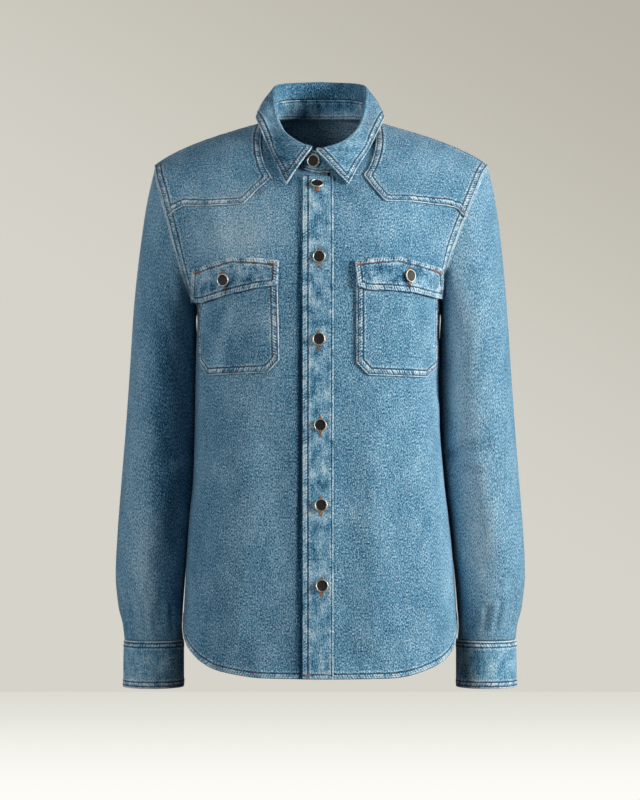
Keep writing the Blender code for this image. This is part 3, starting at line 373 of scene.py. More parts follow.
ARM_FOLDS = {
    Side.RIGHT: (
        (0.16, 128, 0.5, 138, 26, -3.6), (0.54, 150, 0.585, 92, 20, -3.4),
        (0.62, 140, 0.84, 120, 24, -3.0), (0.9, 62, 0.975, 58, 12, -2.4),
        (0.93, 112, 0.975, 112, 9, -1.8), (0.53, 225, 0.57, 262, 22, -3.2),
        (0.9, 20, 0.97, 12, 12, -2.0),
    ),
    Side.LEFT: (
        (0.14, 132, 0.44, 142, 26, -3.2), (0.55, 142, 0.55, 88, 20, -4.0),
        (0.61, 118, 0.84, 108, 24, -3.2), (0.88, 58, 0.975, 52, 12, -3.0),
        (0.94, 96, 0.975, 98, 9, -2.0), (0.95, 116, 0.975, 116, 8, -1.6),
        (0.54, 222, 0.58, 265, 22, -3.4), (0.9, 14, 0.97, 8, 12, -2.2),
    ),
}

# The smaller creases, only here, by the same columns
CREASES = {
    "front_right": (
        (150, -238, 118, -262, 12, -0.9), (146, -300, 112, -336, 14, -1.0),
        (60, -120, 44, -160, 12, -0.6), (118, -430, 96, -468, 14, -0.7),
        (60, -470, 52, -560, 14, 0.7), (140, -470, 132, -560, 12, -0.7),
        (100, -590, 112, -640, 12, 0.8), (30, -640, 34, -661, 10, -0.8),
        (128, -600, 134, -640, 9, -0.8),
    ),
    "front_left": (
        (146, -250, 112, -280, 12, -0.9), (140, -330, 104, -352, 12, -1.0),
        (56, -118, 40, -150, 12, -0.5), (108, -420, 84, -470, 14, -0.8),
        (48, -500, 52, -600, 14, -0.8), (138, -480, 146, -570, 12, -0.8),
        (92, -600, 104, -645, 12, 0.8), (62, -640, 66, -661, 10, -0.8),
        (118, -606, 130, -640, 10, -0.8),
    ),
    "back_right": (
        (140, -245, 100, -290, 14, -1.2), (34, -130, 30, -260, 18, -0.8),
        (110, -450, 84, -520, 16, -1.0), (30, -480, 36, -640, 16, 0.8),
        (96, -600, 104, -650, 12, -1.0),
    ),
    "back_left": (
        (138, -240, 104, -280, 14, -1.1), (40, -140, 34, -280, 18, -0.7),
        (120, -430, 96, -500, 16, -1.0), (28, -430, 30, -600, 16, 0.9),
        (88, -590, 98, -650, 12, -1.0),
    ),
}
ARM_CREASES = {
    Side.RIGHT: (
        (0.05, 150, 0.14, 128, 10, -1.0), (0.24, 96, 0.34, 118, 12, -0.9),
        (0.48, 70, 0.52, 110, 10, -0.9), (0.6, 60, 0.64, 104, 12, -1.0),
        (0.72, 84, 0.86, 70, 12, 0.8), (0.86, 96, 0.93, 88, 9, -1.0),
        (0.92, 80, 0.985, 82, 6, -2.4), (0.945, 98, 0.985, 101, 5, -2.0),
        (0.968, 88, 0.998, 92, 3, 1.5), (0.968, 108, 0.998, 113, 3, 1.5),
        (0.935, 134, 0.985, 136, 6, -2.0), (0.92, 40, 0.985, 36, 7, -2.4),
        (0.4, 250, 0.5, 280, 12, -1.2), (0.64, 240, 0.72, 270, 12, -1.0),
    ),
    Side.LEFT: (
        (0.05, 148, 0.13, 126, 10, -1.0), (0.22, 84, 0.36, 100, 12, 0.8),
        (0.49, 128, 0.5, 84, 9, -1.4), (0.6, 120, 0.62, 84, 10, -1.2),
        (0.7, 76, 0.88, 66, 12, 1.0), (0.78, 128, 0.9, 120, 10, -1.0),
        (0.92, 76, 0.985, 78, 6, -2.6), (0.94, 100, 0.985, 103, 5, -2.4),
        (0.966, 86, 0.998, 90, 3, 1.7), (0.966, 106, 0.998, 112, 3, 1.7),
        (0.935, 134, 0.985, 136, 6, -2.0), (0.9, 44, 0.985, 40, 7, -2.6),
        (0.42, 250, 0.5, 284, 12, -1.2), (0.64, 236, 0.74, 272, 12, -1.0),
    ),
}

# Paler and darker spots in the wash, mostly painted light and painted shade: light on the wearer's
# right chest, yoke, front and sleeve and inside the back of the neck, shade on the collar, by the
# wearer's right side seam and down that sleeve's inner side, and a painted shadow line beside the
# placket. The pale spots on the wearer's left sleeve are partly wash fade and partly painted light.
PAINTED_LIGHT_AND_FADE_SPOTS = Table("across height half_width half_height amount", (
    (-100, -140, 46, 34, 0.27), (-110, -92, 60, 26, 0.09), (-72, -330, 34, 120, 0.05),
    (-66, -520, 36, 100, 0.04), (-142, -420, 20, 190, -0.05), (-186, -350, 15, 150, -0.22),
    (-178, -520, 12, 60, -0.10), (-208, -520, 20, 70, 0.18), (-222, -330, 14, 120, 0.05),
    (162, -310, 20, 120, 0.30), (98, -178, 52, 14, -0.10), (184, -500, 24, 90, 0.27),
    (72, -250, 26, 70, -0.04), (0, 38, 52, 18, -0.24), (-50, -50, 26, 36, -0.18),
    (50, -50, 26, 30, -0.05), (-23, -260, 2.2, 110, -0.78), (-23, -440, 2.2, 110, -0.78),
    (-23, -610, 2.2, 110, -0.78), (0, -10, 60, 20, 0.24),
))


# Numbers and grids


def smooth(knots: Sequence[float], values: Array, at: Array) -> Array:
    """Reads a table between its rows with a monotone cubic, which never overshoots a row.

    Args:
        knots: the places of the rows, rising.
        values: a value or a row of values for each knot.
        at: the places to read.

    Returns:
        The values there, with a last axis where the table has several columns.
    """
    knots = np.asarray(knots, float)
    values = np.asarray(values, float).reshape(len(knots), -1)
    at = np.asarray(at, float)
    step = np.diff(knots)[:, None]
    rise = np.diff(values, axis=0) / step
    before, after = rise[:-1], rise[1:]
    wide = 2 * step[1:] + step[:-1]
    narrow = step[1:] + 2 * step[:-1]
    same = before * after > 0
    safe_before = np.where(same, before, 1.0)
    safe_after = np.where(same, after, 1.0)
    mean = (wide + narrow) / (wide / safe_before + narrow / safe_after)
    slope = np.concatenate([rise[:1], np.where(same, mean, 0.0), rise[-1:]])
    place = np.clip(np.searchsorted(knots, at, side="right") - 1, 0, len(knots) - 2)
    width = step[place]
    share = np.clip((at - knots[place])[..., None] / width, 0.0, 1.0)
    low, high = values[place], values[place + 1]
    square, cube = share**2, share**3
    read = (
        low * (2 * cube - 3 * square + 1)
        + high * (3 * square - 2 * cube)
        + width * slope[place] * (cube - 2 * square + share)
        + width * slope[place + 1] * (cube - square)
    )
    return read if read.shape[-1] > 1 else read[..., 0]


def unit(vectors: Array) -> Array:
    """Each vector over its length."""
    return vectors / np.maximum(np.linalg.norm(vectors, axis=-1, keepdims=True), 1e-12)


def eased(share: Array) -> Array:
    """3s^2 - 2s^3: zero below nothing and one above the whole, with a soft start and end."""
    share = np.clip(share, 0.0, 1.0)
    return share * share * (3 - 2 * share)


def ripple(run: Array, seed: float, length: float) -> Array:
    """An uneven wave along a run: three sines whose lengths share no common measure.

    Args:
        run: the places along the run, in millimetres.
        seed: shifts the wave.
        length: its usual wave length in millimetres.

    Returns:
        Values from about -1 to 1.
    """
    turn = 2 * math.pi * run / length
    return (
        0.5 * np.sin(turn + seed)
        + 0.32 * np.sin(turn * 0.618 + 2.3 * seed + 1.0)
        + 0.28 * np.sin(turn * 1.414 + 4.1 * seed + 2.0)
    )


def fold_lift(places: Array, rows: Sequence[tuple[float, ...]], scale: Array) -> Array:
    """The sum of depth (1 - (d / width)^2)^2, where d is the way to each fold's line.

    Args:
        places: points in the plane of the fold table, in millimetres, with the two places last.
        rows: folds of one kind, each with its start, its end, its half width and its depth.
        scale: what turns the table's two places into millimetres.

    Returns:
        How far each place moves out.
    """
    lift = np.zeros(places.shape[:-1])
    for row in np.array(rows, float):
        start, end, (width, depth) = row[:2] * scale, row[2:4] * scale, row[4:]
        run = end - start
        share = np.clip(((places - start) * run).sum(axis=-1) / (run**2).sum(), 0.0, 1.0)
        away = np.linalg.norm(places - start - share[..., None] * run, axis=-1) / width
        lift += depth * np.clip(1 - away**2, 0.0, 1.0) ** 2
    return lift


def along(corners: Sequence[tuple[float, float]], count: int) -> Array:
    """Evenly spread points along straight runs between corners, as outward place and height.

    Args:
        corners: the corners in order.
        count: how many points to return.

    Returns:
        The points.
    """
    places = np.array(corners, float)
    step = np.linalg.norm(np.diff(places, axis=0), axis=1)
    run = np.concatenate([[0.0], np.cumsum(step)])
    at = np.linspace(0, run[-1], count)
    return np.stack([np.interp(at, run, places[:, k]) for k in range(2)], axis=-1)


def between(first: Array, last: Array, shares: Array) -> Array:
    """Points part of the way from one run of points to another, a row for each share."""
    shares = np.asarray(shares, float)[:, None, None]
    return first[None] * (1 - shares) + last[None] * shares


def faded(points: Array) -> Array:
    """How much paler the wash is painted at each point: painted light and painted shade, with some
    wash fade.

    The sum of soft spots, each amount * exp(-((x - across) / half_width)^2
    - ((z - height) / half_height)^2), none of them on the plain back.

    Args:
        points: points in millimetres.

    Returns:
        The sum at each point.
    """
    across, height, half_width, half_height, amount = np.array(PAINTED_LIGHT_AND_FADE_SPOTS.rows, float).T
    off = (points[..., :1] - across) / half_width
    up = (points[..., 2:] - height) / half_height
    behind = eased((points[..., 1] - PAINTED_SPOTS_BACK) / PAINTED_SPOTS_RUN)
    below = eased((-points[..., 2] - PAINTED_SPOTS_RUN) / PAINTED_SPOTS_RUN)
    return (amount * np.exp(-(off**2) - up**2)).sum(axis=-1) * (1 - behind * below)


def row_spline(rows: Array, count: int) -> Array:
    """A Catmull-Rom curve through a few rows of points, read at even steps.

    Args:
        rows: the rows, one after the other along the first axis.
        count: how many rows to return.

    Returns:
        The finer rows.
    """
    ends = np.concatenate([2 * rows[:1] - rows[1:2], rows, 2 * rows[-1:] - rows[-2:-1]])
    at = np.linspace(0, len(rows) - 1, count)
    place = np.minimum(at.astype(int), len(rows) - 2)
    t = (at - place)[:, None, None]
    a, b, c, d = (ends[place + k] for k in range(4))
    return 0.5 * (
        2 * b + (c - a) * t + (2 * a - 5 * b + 4 * c - d) * t**2 + (3 * b - a - 3 * c + d) * t**3
    )


def grid_faces(rows: int, columns: int, closed: bool) -> Array:
    """The quads between the rows of a grid of points, and round it where it closes.

    Args:
        rows: how many rows of points there are.
        columns: how many points a row has.
        closed: whether a row's last point joins its first.

    Returns:
        The four point numbers of each quad.
    """
    across = columns if closed else columns - 1
    row, column = np.meshgrid(np.arange(rows - 1), np.arange(across), indexing="ij")
    following = (column + 1) % columns
    quads = np.stack(
        [row * columns + column, row * columns + following,
         (row + 1) * columns + following, (row + 1) * columns + column], axis=-1
    )
    return quads.reshape(-1, 4)


def make_mesh(name: str, points: Array, faces: Array) -> bpy.types.Object:
    """A linked object from points in millimetres and faces that all have as many corners.

    Args:
        name: the object's and the mesh's name.
        points: the vertices.
        faces: the corners of each face.

    Returns:
        The new object, shaded smooth.
    """
    mesh = bpy.data.meshes.new(name)
    sides = faces.shape[1]
    mesh.vertices.add(len(points))
    mesh.vertices.foreach_set("co", (points * MM).astype(np.float32).ravel())
    mesh.loops.add(faces.size)
    mesh.loops.foreach_set("vertex_index", faces.astype(np.int32).ravel())
    mesh.polygons.add(len(faces))
    mesh.polygons.foreach_set("loop_start", np.arange(len(faces), dtype=np.int32) * sides)
    mesh.update(calc_edges=True)
    mesh.validate()
    mesh.shade_smooth()
    made = bpy.data.objects.new(name, mesh)
    bpy.context.scene.collection.objects.link(made)
    return made


def set_attribute(mesh: bpy.types.Mesh, name: str, values: Array) -> None:
    """Stores one number for each vertex of a mesh under a name."""
    made = mesh.attributes.new(name, "FLOAT", "POINT")
    made.data.foreach_set("value", values.astype(np.float32).ravel())


# Forms that the pieces are read from


class NeckForm:
    """The ring of the neck, with the collar that stands on it."""

    def ring(self, angle: Array) -> Array:
        """An ellipse with a height read from the neck's table, by degrees from the front.

        Args:
            angle: degrees from the front.

        Returns:
            The points on the wearer's left.
        """
        turn = np.radians(angle)
        height = NECK.smooth("angle", np.abs(angle), "base")
        out = NECK_HALF_WIDTH * np.sin(turn)
        back = NECK_MIDDLE_Y - NECK_HALF_DEPTH * np.cos(turn)
        return np.stack([out, back, height], axis=-1)

    def angle(self, turn: Array) -> Array:
        """A turn from the front over the wearer's right, as degrees from the front."""
        return np.where(turn <= HALF_TURN, turn, 2 * HALF_TURN - turn)

    def out(self, turn: Array) -> Array:
        """The level direction away from the neck: the ellipse's own normal.

        Args:
            turn: degrees from the front, over the wearer's right.

        Returns:
            Unit vectors.
        """
        swing = np.radians(turn)
        level = np.stack(
            [-np.sin(swing) / NECK_HALF_WIDTH, -np.cos(swing) / NECK_HALF_DEPTH], axis=-1
        )
        return np.concatenate([unit(level), np.zeros(level.shape[:-1] + (1,))], axis=-1)

    def point(self, turn: Array, away: Array, height: Array) -> Array:
        """A point at this distance from the ring and at this height.

        Args:
            turn: degrees from the front, over the wearer's right.
            away: how far out from the ring.
            height: the point's height.

        Returns:
            The points.
        """
        point = self.ring(self.angle(turn))
        point[..., 0] *= np.where(turn <= HALF_TURN, -1.0, 1.0)
        point[..., 2] = height
        return point + self.out(turn) * np.asarray(away, float)[..., None]

    def read(self, turn: Array, column: str) -> Array:
        """A column of the neck's table at a turn."""
        return NECK.smooth("angle", np.abs(self.angle(turn)), column)

    def under(self, turn: Array) -> Array:
        """How far inside the ring the stand's lapped end runs."""
        return STAND_UNDER * (1 - eased((turn - STAND_UNDER_ENDS) / STAND_UNDER_FADE))

    def stand(self, turn: Array, climb: Array) -> Array:
        """The stand's outer face: base to top by the share climb, rounded down at the lap's end.

        Args:
            turn: degrees from the front, over the wearer's right.
            climb: the share of the way up.

        Returns:
            The points.
        """
        base, top = self.read(turn, "base"), self.read(turn, "stand_top")
        corner = np.clip((turn - STAND_CORNER_TURN) / (STAND_LAP_END - STAND_CORNER_TURN), 0, 1)
        top = top - (top - base) * STAND_CORNER_DROP * corner**2
        base = base + STAND_LAP_LIFT * np.clip(turn - STAND_LAP_START + 4.0, 0, 4) / 4
        away = -self.under(turn) - self.read(turn, "lean") * climb
        return self.point(turn, away, base + (top - base) * climb)


NECK_FORM = NeckForm()


@dataclass
class PanelForm:
    """One half of the fronts or of the back, read by a share of the row and a station.

    Attributes:
        name: the half's name in the fold tables.
        side: the wearer's side.
        edge: how far out the row starts.
        depth: front or back.
        rises: the rows above the arms.
        corner: the station above which the rows start on the neck.
        neck_start: the neck angle of that corner.
    """

    name: str
    side: Side
    edge: float
    depth: str
    rises: Table
    corner: float
    neck_start: float
    rows: Array = field(init=False)
    stations: Array = field(init=False)

    def __post_init__(self) -> None:
        """Turns the tables into rows of a cubic curve's end points and pulls."""
        height, half, middle = LEVELS.read("height", self.side.word, self.depth).T
        none = np.zeros(len(height))
        pull = LEVEL_SIDE_PULL * (middle - SIDE_Y)
        lower = np.stack([
            none + self.edge, middle, height, LEVEL_IN_PULL * half, none, none,
            half, none + SIDE_Y, height, none, pull, none,
        ], axis=-1)
        upper = self.rises.read("middle_y", "middle_z", "in_out", "in_y", "in_z", self.side.word,
                                "arm_y", "arm_z", "pull_out", "pull_y", "pull_z")
        self.rows = np.concatenate([lower, np.insert(upper, 0, self.edge, axis=1)])
        self.stations = np.concatenate([height, self.rises.read("station")])

    def base(self, share: Array, station: Array) -> Array:
        """The cubic a(1-t)^3 + 3(a+p)t(1-t)^2 + 3(b+q)t^2(1-t) + bt^3 of each row.

        Args:
            share: the share of the way from the middle to the side.
            station: the height of the row.

        Returns:
            The points.
        """
        share, station = np.broadcast_arrays(
            np.asarray(share, float), np.asarray(station, float)
        )
        row = smooth(self.stations, self.rows, station)
        inner, inner_pull, outer, outer_pull = np.split(row, 4, axis=-1)
        climb = np.clip((station - self.corner) / -self.corner, 0.0, 1.0)
        angle = self.neck_start + (SHOULDER_ANGLE - self.neck_start) * climb
        inner = np.where((station >= self.corner)[..., None], NECK_FORM.ring(angle), inner)
        t = share[..., None]
        point = (
            inner * (1 - t) ** 3
            + (inner + inner_pull) * 3 * t * (1 - t) ** 2
            + (outer + outer_pull) * 3 * t**2 * (1 - t)
            + outer * t**3
        )
        return point * np.array([self.side.value, 1.0, 1.0])

    def normal(self, share: Array, station: Array, step: float = 0.01) -> Array:
        """The outward direction, from differences along and across the rows.

        Args:
            share: the share of the way from the middle to the side.
            station: the height of the row.
            step: how far apart the differences are taken.

        Returns:
            Unit vectors.
        """
        low, high = np.clip(share - step, 0, 1), np.clip(share + step, 0, 1)
        run = self.base(high, station) - self.base(low, station)
        top = np.minimum(station + 2.0, -1e-6)
        across = self.base(share, top) - self.base(share, top - 4.0)
        faces = -1.0 if self.depth == "front" else 1.0
        return unit(np.cross(across, run)) * self.side.value * faces

    def fold(self, share: Array, station: Array) -> Array:
        """How far the folds and creases move a place out; nothing at the seams.

        Args:
            share: the share of the way from the middle to the side.
            station: the height of the row.

        Returns:
            The move in millimetres.
        """
        seen = self.base(share, station)[..., [0, 2]] * np.array([self.side.value, 1.0])
        lift = fold_lift(seen, FOLDS[self.name] + CREASES[self.name], np.ones(2))
        return lift * eased((1 - share) / SIDE_FADE) * eased(-station / SHOULDER_FADE)

    def point(self, share: Array, station: Array, lift: Array = 0.0) -> Array:
        """A place on the folded cloth, moved out by lift."""
        lift = lift + self.fold(share, station)
        return self.base(share, station) + lift[..., None] * self.normal(share, station)

    def spot(self, x: float, z: float, lift: float) -> tuple[Array, Array]:
        """The point over one place seen from the front, and the way out of the cloth there."""
        share, station = self.locate(np.array([x]), np.array([z]))
        return self.point(share, station, lift)[0], self.normal(share, station)[0]

    def locate(self, x: Array, z: Array) -> tuple[Array, Array]:
        """Newton steps from the nearest of a coarse grid.

        Args:
            x: places across, seen from the front.
            z: their heights.

        Returns:
            The share and the station of each place.
        """
        x, z = np.asarray(x, float), np.asarray(z, float)
        lowest = self.stations[0]
        shares, stations = np.meshgrid(np.linspace(0, 1, 41), np.linspace(lowest, -2, 120))
        seen = self.base(shares, stations)[..., [0, 2]].reshape(-1, 2)
        wanted = np.stack([x, z], axis=-1).reshape(-1, 2)
        away = (
            (seen[None, :, 0] - wanted[:, None, 0]) ** 2
            + (seen[None, :, 1] - wanted[:, None, 1]) ** 2
        )
        nearest = away.argmin(axis=1)
        share, station = shares.reshape(-1)[nearest], stations.reshape(-1)[nearest]
        for _ in range(8):
            here = self.base(share, station)[:, [0, 2]]
            next_share = self.base(share + SHARE_STEP, station)[:, [0, 2]]
            next_station = self.base(share, station + STATION_STEP)[:, [0, 2]]
            by_share = (next_share - here) / SHARE_STEP
            by_station = (next_station - here) / STATION_STEP
            miss = wanted - here
            size = by_share[:, 0] * by_station[:, 1] - by_share[:, 1] * by_station[:, 0]
            size = np.where(np.abs(size) < 1e-6, 1e-6, size)
            move_share = (miss[:, 0] * by_station[:, 1] - miss[:, 1] * by_station[:, 0]) / size
            move_station = (by_share[:, 0] * miss[:, 1] - by_share[:, 1] * miss[:, 0]) / size
            share = np.clip(share + np.clip(move_share, -SHARE_MOVE, SHARE_MOVE), 0, 1)
            move_station = np.clip(move_station, -STATION_MOVE, STATION_MOVE)
            station = np.clip(station + move_station, lowest, 0)
        return share.reshape(x.shape), station.reshape(x.shape)


@dataclass
class ArmForm:
    """A tube of tilted oval rings, which starts as the armhole's own ring.

    Attributes:
        side: the wearer's side.
        ring: the points of the armhole, from the underarm up the front and down the back.
    """

    side: Side
    ring: Array
    turns: Array = field(init=False)

    def __post_init__(self) -> None:
        """Each ring point's turn, by its share of the way round its half of the armhole."""
        step = np.linalg.norm(np.roll(self.ring, -1, axis=0) - self.ring, axis=1)
        run = np.concatenate([[0], np.cumsum(step)])
        tip = len(self.ring) // 2
        front = run[: tip + 1] / run[tip]
        back = (run[tip:-1] - run[tip]) / (run[-1] - run[tip])
        self.turns = np.concatenate([math.pi * (1 - front), -math.pi * back[1:]])

    def section(self, share: Array, turn: Array) -> Array:
        """The oval (cos, sin) of turn between the outer and the inner point of a ring.

        Args:
            share: the share of the way down the arm.
            turn: the way round it.

        Returns:
            The points.
        """
        word = self.side.word
        columns = ("outer", "outer_z", f"inner_{word}", "inner_z", f"middle_{word}", "half_depth")
        row = ARMS.smooth("share", share, *columns)
        outer, outer_z, inner, inner_z, middle_y, half_depth = np.moveaxis(row, -1, 0)
        swing = np.cos(turn)
        x = (outer + inner) / 2 + swing * (outer - inner) / 2
        y = middle_y - np.sin(turn) * half_depth
        z = (outer_z + inner_z) / 2 + swing * (outer_z - inner_z) / 2
        return np.stack([self.side.value * x, y, z], axis=-1)

    def fold(self, share: Array, turn: Array) -> Array:
        """How far the folds and creases move a place out; nothing at the armhole and the cuff.

        Args:
            share: the share of the way down the arm.
            turn: the way round it.

        Returns:
            The move in millimetres.
        """
        share, turn = np.broadcast_arrays(share, turn)
        scale = np.array([ARM_LENGTH, math.radians(ARM_RADIUS)])
        places = np.stack([share, np.degrees(turn) % (2 * HALF_TURN)], axis=-1) * scale
        lift = fold_lift(places, ARM_FOLDS[self.side] + ARM_CREASES[self.side], scale)
        return lift * eased(share / ARMHOLE_FADE) * eased((1 - share) / CUFF_FADE)

    def grid(self, share: Array) -> Array:
        """Rings down the arm: the armhole's ring fades into the ovals over the first part.

        Args:
            share: the share of the way down the arm of each ring.

        Returns:
            The points.
        """
        share = np.asarray(share, float)[:, None]
        plain = self.section(share + 0 * self.turns[None], self.turns[None] + 0 * share)
        start = self.section(0 * self.turns, self.turns)
        grid = plain + eased(1 - share / ARMHOLE_FADE)[..., None] * (self.ring - start)[None]
        outwards = unit(grid - grid.mean(axis=1, keepdims=True))
        return grid + self.fold(share, self.turns[None])[..., None] * outwards


def panel_forms() -> dict[str, PanelForm]:
    """The four halves of the body by name.

    Returns:
        The forms by name.
    """
    right_angle = math.degrees(math.asin(-RIGHT_EDGE / NECK_HALF_WIDTH))
    left_angle = math.degrees(math.asin(LEFT_EDGE / NECK_HALF_WIDTH))
    rows = {
        "front_right": (Side.RIGHT, RIGHT_EDGE, "front", FRONT_RISES, FRONT_CORNER, -right_angle),
        "front_left": (Side.LEFT, LEFT_EDGE, "front", FRONT_RISES, FRONT_CORNER, left_angle),
        "back_right": (Side.RIGHT, 0.0, "back", BACK_RISES, BACK_CORNER, HALF_TURN),
        "back_left": (Side.LEFT, 0.0, "back", BACK_RISES, BACK_CORNER, HALF_TURN),
    }
    return {name: PanelForm(name, *row) for name, row in rows.items()}


# Finishes


class Nodes:
    """A node tree with short ways to add and join nodes."""

    def __init__(self, tree: bpy.types.NodeTree) -> None:
        """Keeps the tree."""
        self.tree = tree

    def add(self, kind: str, **settings: object) -> bpy.types.Node:
        """A new node with its settings.

        Args:
            kind: the node's type.
            settings: its settings by name.

        Returns:
            The node.
        """
        node = self.tree.nodes.new(kind)
        for key, value in settings.items():
            setattr(node, key, value)
        return node

    def put(self, value: object, socket: Socket) -> None:
        """Joins an output to an input, or sets the input to a plain value."""
        if isinstance(value, Socket):
            self.tree.links.new(value, socket)
        else:
            socket.default_value = value

    def math(self, how: str, *values: object, clamp: bool = False) -> Socket:
        """A Math node of that operation on the values.

        Args:
            how: the operation.
            values: its inputs in order.
            clamp: whether the result is kept from 0 to 1.

        Returns:
            The result's socket.
        """
        node = self.add("ShaderNodeMath", operation=how, use_clamp=clamp)
        for value, socket in zip(values, node.inputs):
            self.put(value, socket)
        return node.outputs[0]

    def feed(self, node: bpy.types.Node, values: dict[str, object]) -> bpy.types.Node:
        """Puts each value in the node's input of that name."""
        for key, value in values.items():
            self.put(value, node.inputs[key])
        return node

    def group(self, tree: bpy.types.NodeTree, values: dict[str, object]) -> bpy.types.Node:
        """A node of a group with its values."""
        return self.feed(self.add("ShaderNodeGroup", node_tree=tree), values)

    def bump(self, height: object, strength: float, distance: float) -> bpy.types.Node:
        """A bump of that height."""
        values = {"Height": height, "Strength": strength, "Distance": distance}
        return self.feed(self.add("ShaderNodeBump"), values)

    def combine(self, x: object, y: object, z: object = 0.0) -> Socket:
        """A vector of three values.

        Args:
            x: the first value.
            y: the second.
            z: the third.

        Returns:
            The vector's socket.
        """
        node = self.add("ShaderNodeCombineXYZ")
        for value, socket in zip((x, y, z), node.inputs):
            self.put(value, socket)
        return node.outputs[0]

    def noise(self, vector: object, scale: float, detail: float = 1.0,
              roughness: float = 0.5) -> Socket:
        """A noise value from 0 to 1, which has its middle at a half."""
        values = {"Vector": vector, "Scale": scale, "Detail": detail, "Roughness": roughness}
        return self.feed(self.add("ShaderNodeTexNoise"), values).outputs["Fac"]

    def span(self, value: object, low: float, high: float, to_low: float = 0.0,
             to_high: float = 1.0) -> Socket:
        """A soft step of the value from one range to another.

        Args:
            value: what is read.
            low: where the step starts.
            high: where it ends.
            to_low: the result at the start.
            to_high: the result at the end.

        Returns:
            The result's socket.
        """
        node = self.add("ShaderNodeMapRange", interpolation_type="SMOOTHSTEP")
        values = {"Value": value, "From Min": low, "From Max": high, "To Min": to_low,
                  "To Max": to_high}
        return self.feed(node, values).outputs[0]

    def scaled(self, vector: object, x: float, y: float, z: float = 1.0) -> Socket:
        """A vector times three factors.

        Args:
            vector: the vector.
            x: the first factor.
            y: the second.
            z: the third.

        Returns:
            The product's socket.
        """
        node = self.add("ShaderNodeVectorMath", operation="MULTIPLY")
        self.put(vector, node.inputs[0])
        node.inputs[1].default_value = (x, y, z)
        return node.outputs[0]

    def ramp(self, value: object, stops: Sequence[tuple[float, Triple]]) -> Socket:
        """A colour read from stops.

        Args:
            value: where the ramp is read.
            stops: each stop's place and colour.

        Returns:
            The colour's socket.
        """
        node = self.add("ShaderNodeValToRGB")
        line = node.color_ramp
        for number, (place, colour) in enumerate(stops):
            stop = line.elements[number] if number < 2 else line.elements.new(place)
            stop.position, stop.color = place, (*colour, 1.0)
        self.put(value, node.inputs["Fac"])
        return node.outputs["Color"]


def new_group(name: str, takes: Sequence[tuple[str, str, object]],
              gives: Sequence[tuple[str, str]]) -> tuple[bpy.types.NodeTree, Nodes, dict, dict]:
    """An empty shader group with named sockets.

    Args:
        name: the group's name.
        takes: each input's name, socket type and plain value.
        gives: each output's name and socket type.

    Returns:
        The group, its node maker, its inputs' sockets and its output node's sockets by name.
    """
    tree = bpy.data.node_groups.new(name, "ShaderNodeTree")
    for title, kind, value in takes:
        made = tree.interface.new_socket(title, in_out="INPUT", socket_type=kind)
        if value is not None:
            made.default_value = value
    for title, kind in gives:
        tree.interface.new_socket(title, in_out="OUTPUT", socket_type=kind)
    nodes = Nodes(tree)
    entry, leave = nodes.add("NodeGroupInput"), nodes.add("NodeGroupOutput")
    inputs = {title: entry.outputs[title] for title, _, _ in takes}
    outputs = {title: leave.inputs[title] for title, _ in gives}
    return tree, nodes, inputs, outputs


def material(name: str, fill: Callable[[Nodes, bpy.types.Node], None]) -> Material:
    """A material by its name, made the first time that it is asked for.

    Args:
        name: the material's name.
        fill: what sets its nodes, from their maker and its shader.

    Returns:
        The material.
    """
    made = bpy.data.materials.get(name)
    if made is None:
        made = bpy.data.materials.new(name)
        made.use_nodes = True
        fill(Nodes(made.node_tree), made.node_tree.nodes["Principled BSDF"])
    return made


FLOAT, VECTOR = "NodeSocketFloat", "NodeSocketVector"


def weave_group() -> bpy.types.NodeTree:
    """Washed twill: fleck, slub, twill lines and cloudy fading, from the cloth's own place.

    Wash = 0.5 + fleck + slub + cloud, each a noise stretched along the warp. Height is the twill's
    slanting wave with the fleck on it.

    Returns:
        The group.
    """
    takes = [
        ("Place", VECTOR, None), ("Fleck", FLOAT, 1.0), ("Slub", FLOAT, 1.0),
        ("Cloud", FLOAT, 1.0), ("Cloud Size", FLOAT, 1.0),
    ]
    tree, nodes, take, give = new_group("denim_weave", takes, [("Wash", FLOAT), ("Height", FLOAT)])

    def uneven(place: Socket, detail: float, roughness: float = 0.5) -> Socket:
        """A noise that has its middle at zero."""
        return nodes.math("SUBTRACT", nodes.noise(place, 1.0, detail, roughness), 0.5)

    fleck = uneven(nodes.scaled(take["Place"], 880, 430), 1.0, 0.6)
    fine = uneven(nodes.scaled(take["Place"], 2600, 1300), 0.0)
    both = nodes.math("ADD", fleck, nodes.math("MULTIPLY", fine, 0.5))
    slub = uneven(nodes.scaled(take["Place"], 620, 45), 2.0)
    cloud_at = nodes.add("ShaderNodeVectorMath", operation="SCALE")
    nodes.put(nodes.scaled(take["Place"], 30, 20), cloud_at.inputs[0])
    nodes.put(take["Cloud Size"], cloud_at.inputs["Scale"])
    cloud = uneven(cloud_at.outputs[0], 3.0, 0.55)
    wash = nodes.math("MULTIPLY_ADD", nodes.math("MULTIPLY", both, take["Fleck"]), 1.7, 0.5)
    wash = nodes.math("MULTIPLY_ADD", nodes.math("MULTIPLY", slub, take["Slub"]), 0.45, wash)
    wash = nodes.math("MULTIPLY_ADD", nodes.math("MULTIPLY", cloud, take["Cloud"]), 0.34, wash)
    nodes.put(wash, give["Wash"])
    wave = nodes.add("ShaderNodeTexWave", wave_type="BANDS", bands_direction="DIAGONAL")
    twill_at = nodes.scaled(take["Place"], 520, 520)
    nodes.feed(wave, {"Vector": twill_at, "Scale": 0.5, "Distortion": 1.2})
    nodes.put(nodes.math("MULTIPLY_ADD", wave.outputs["Fac"], 0.35, both), give["Height"])
    return tree


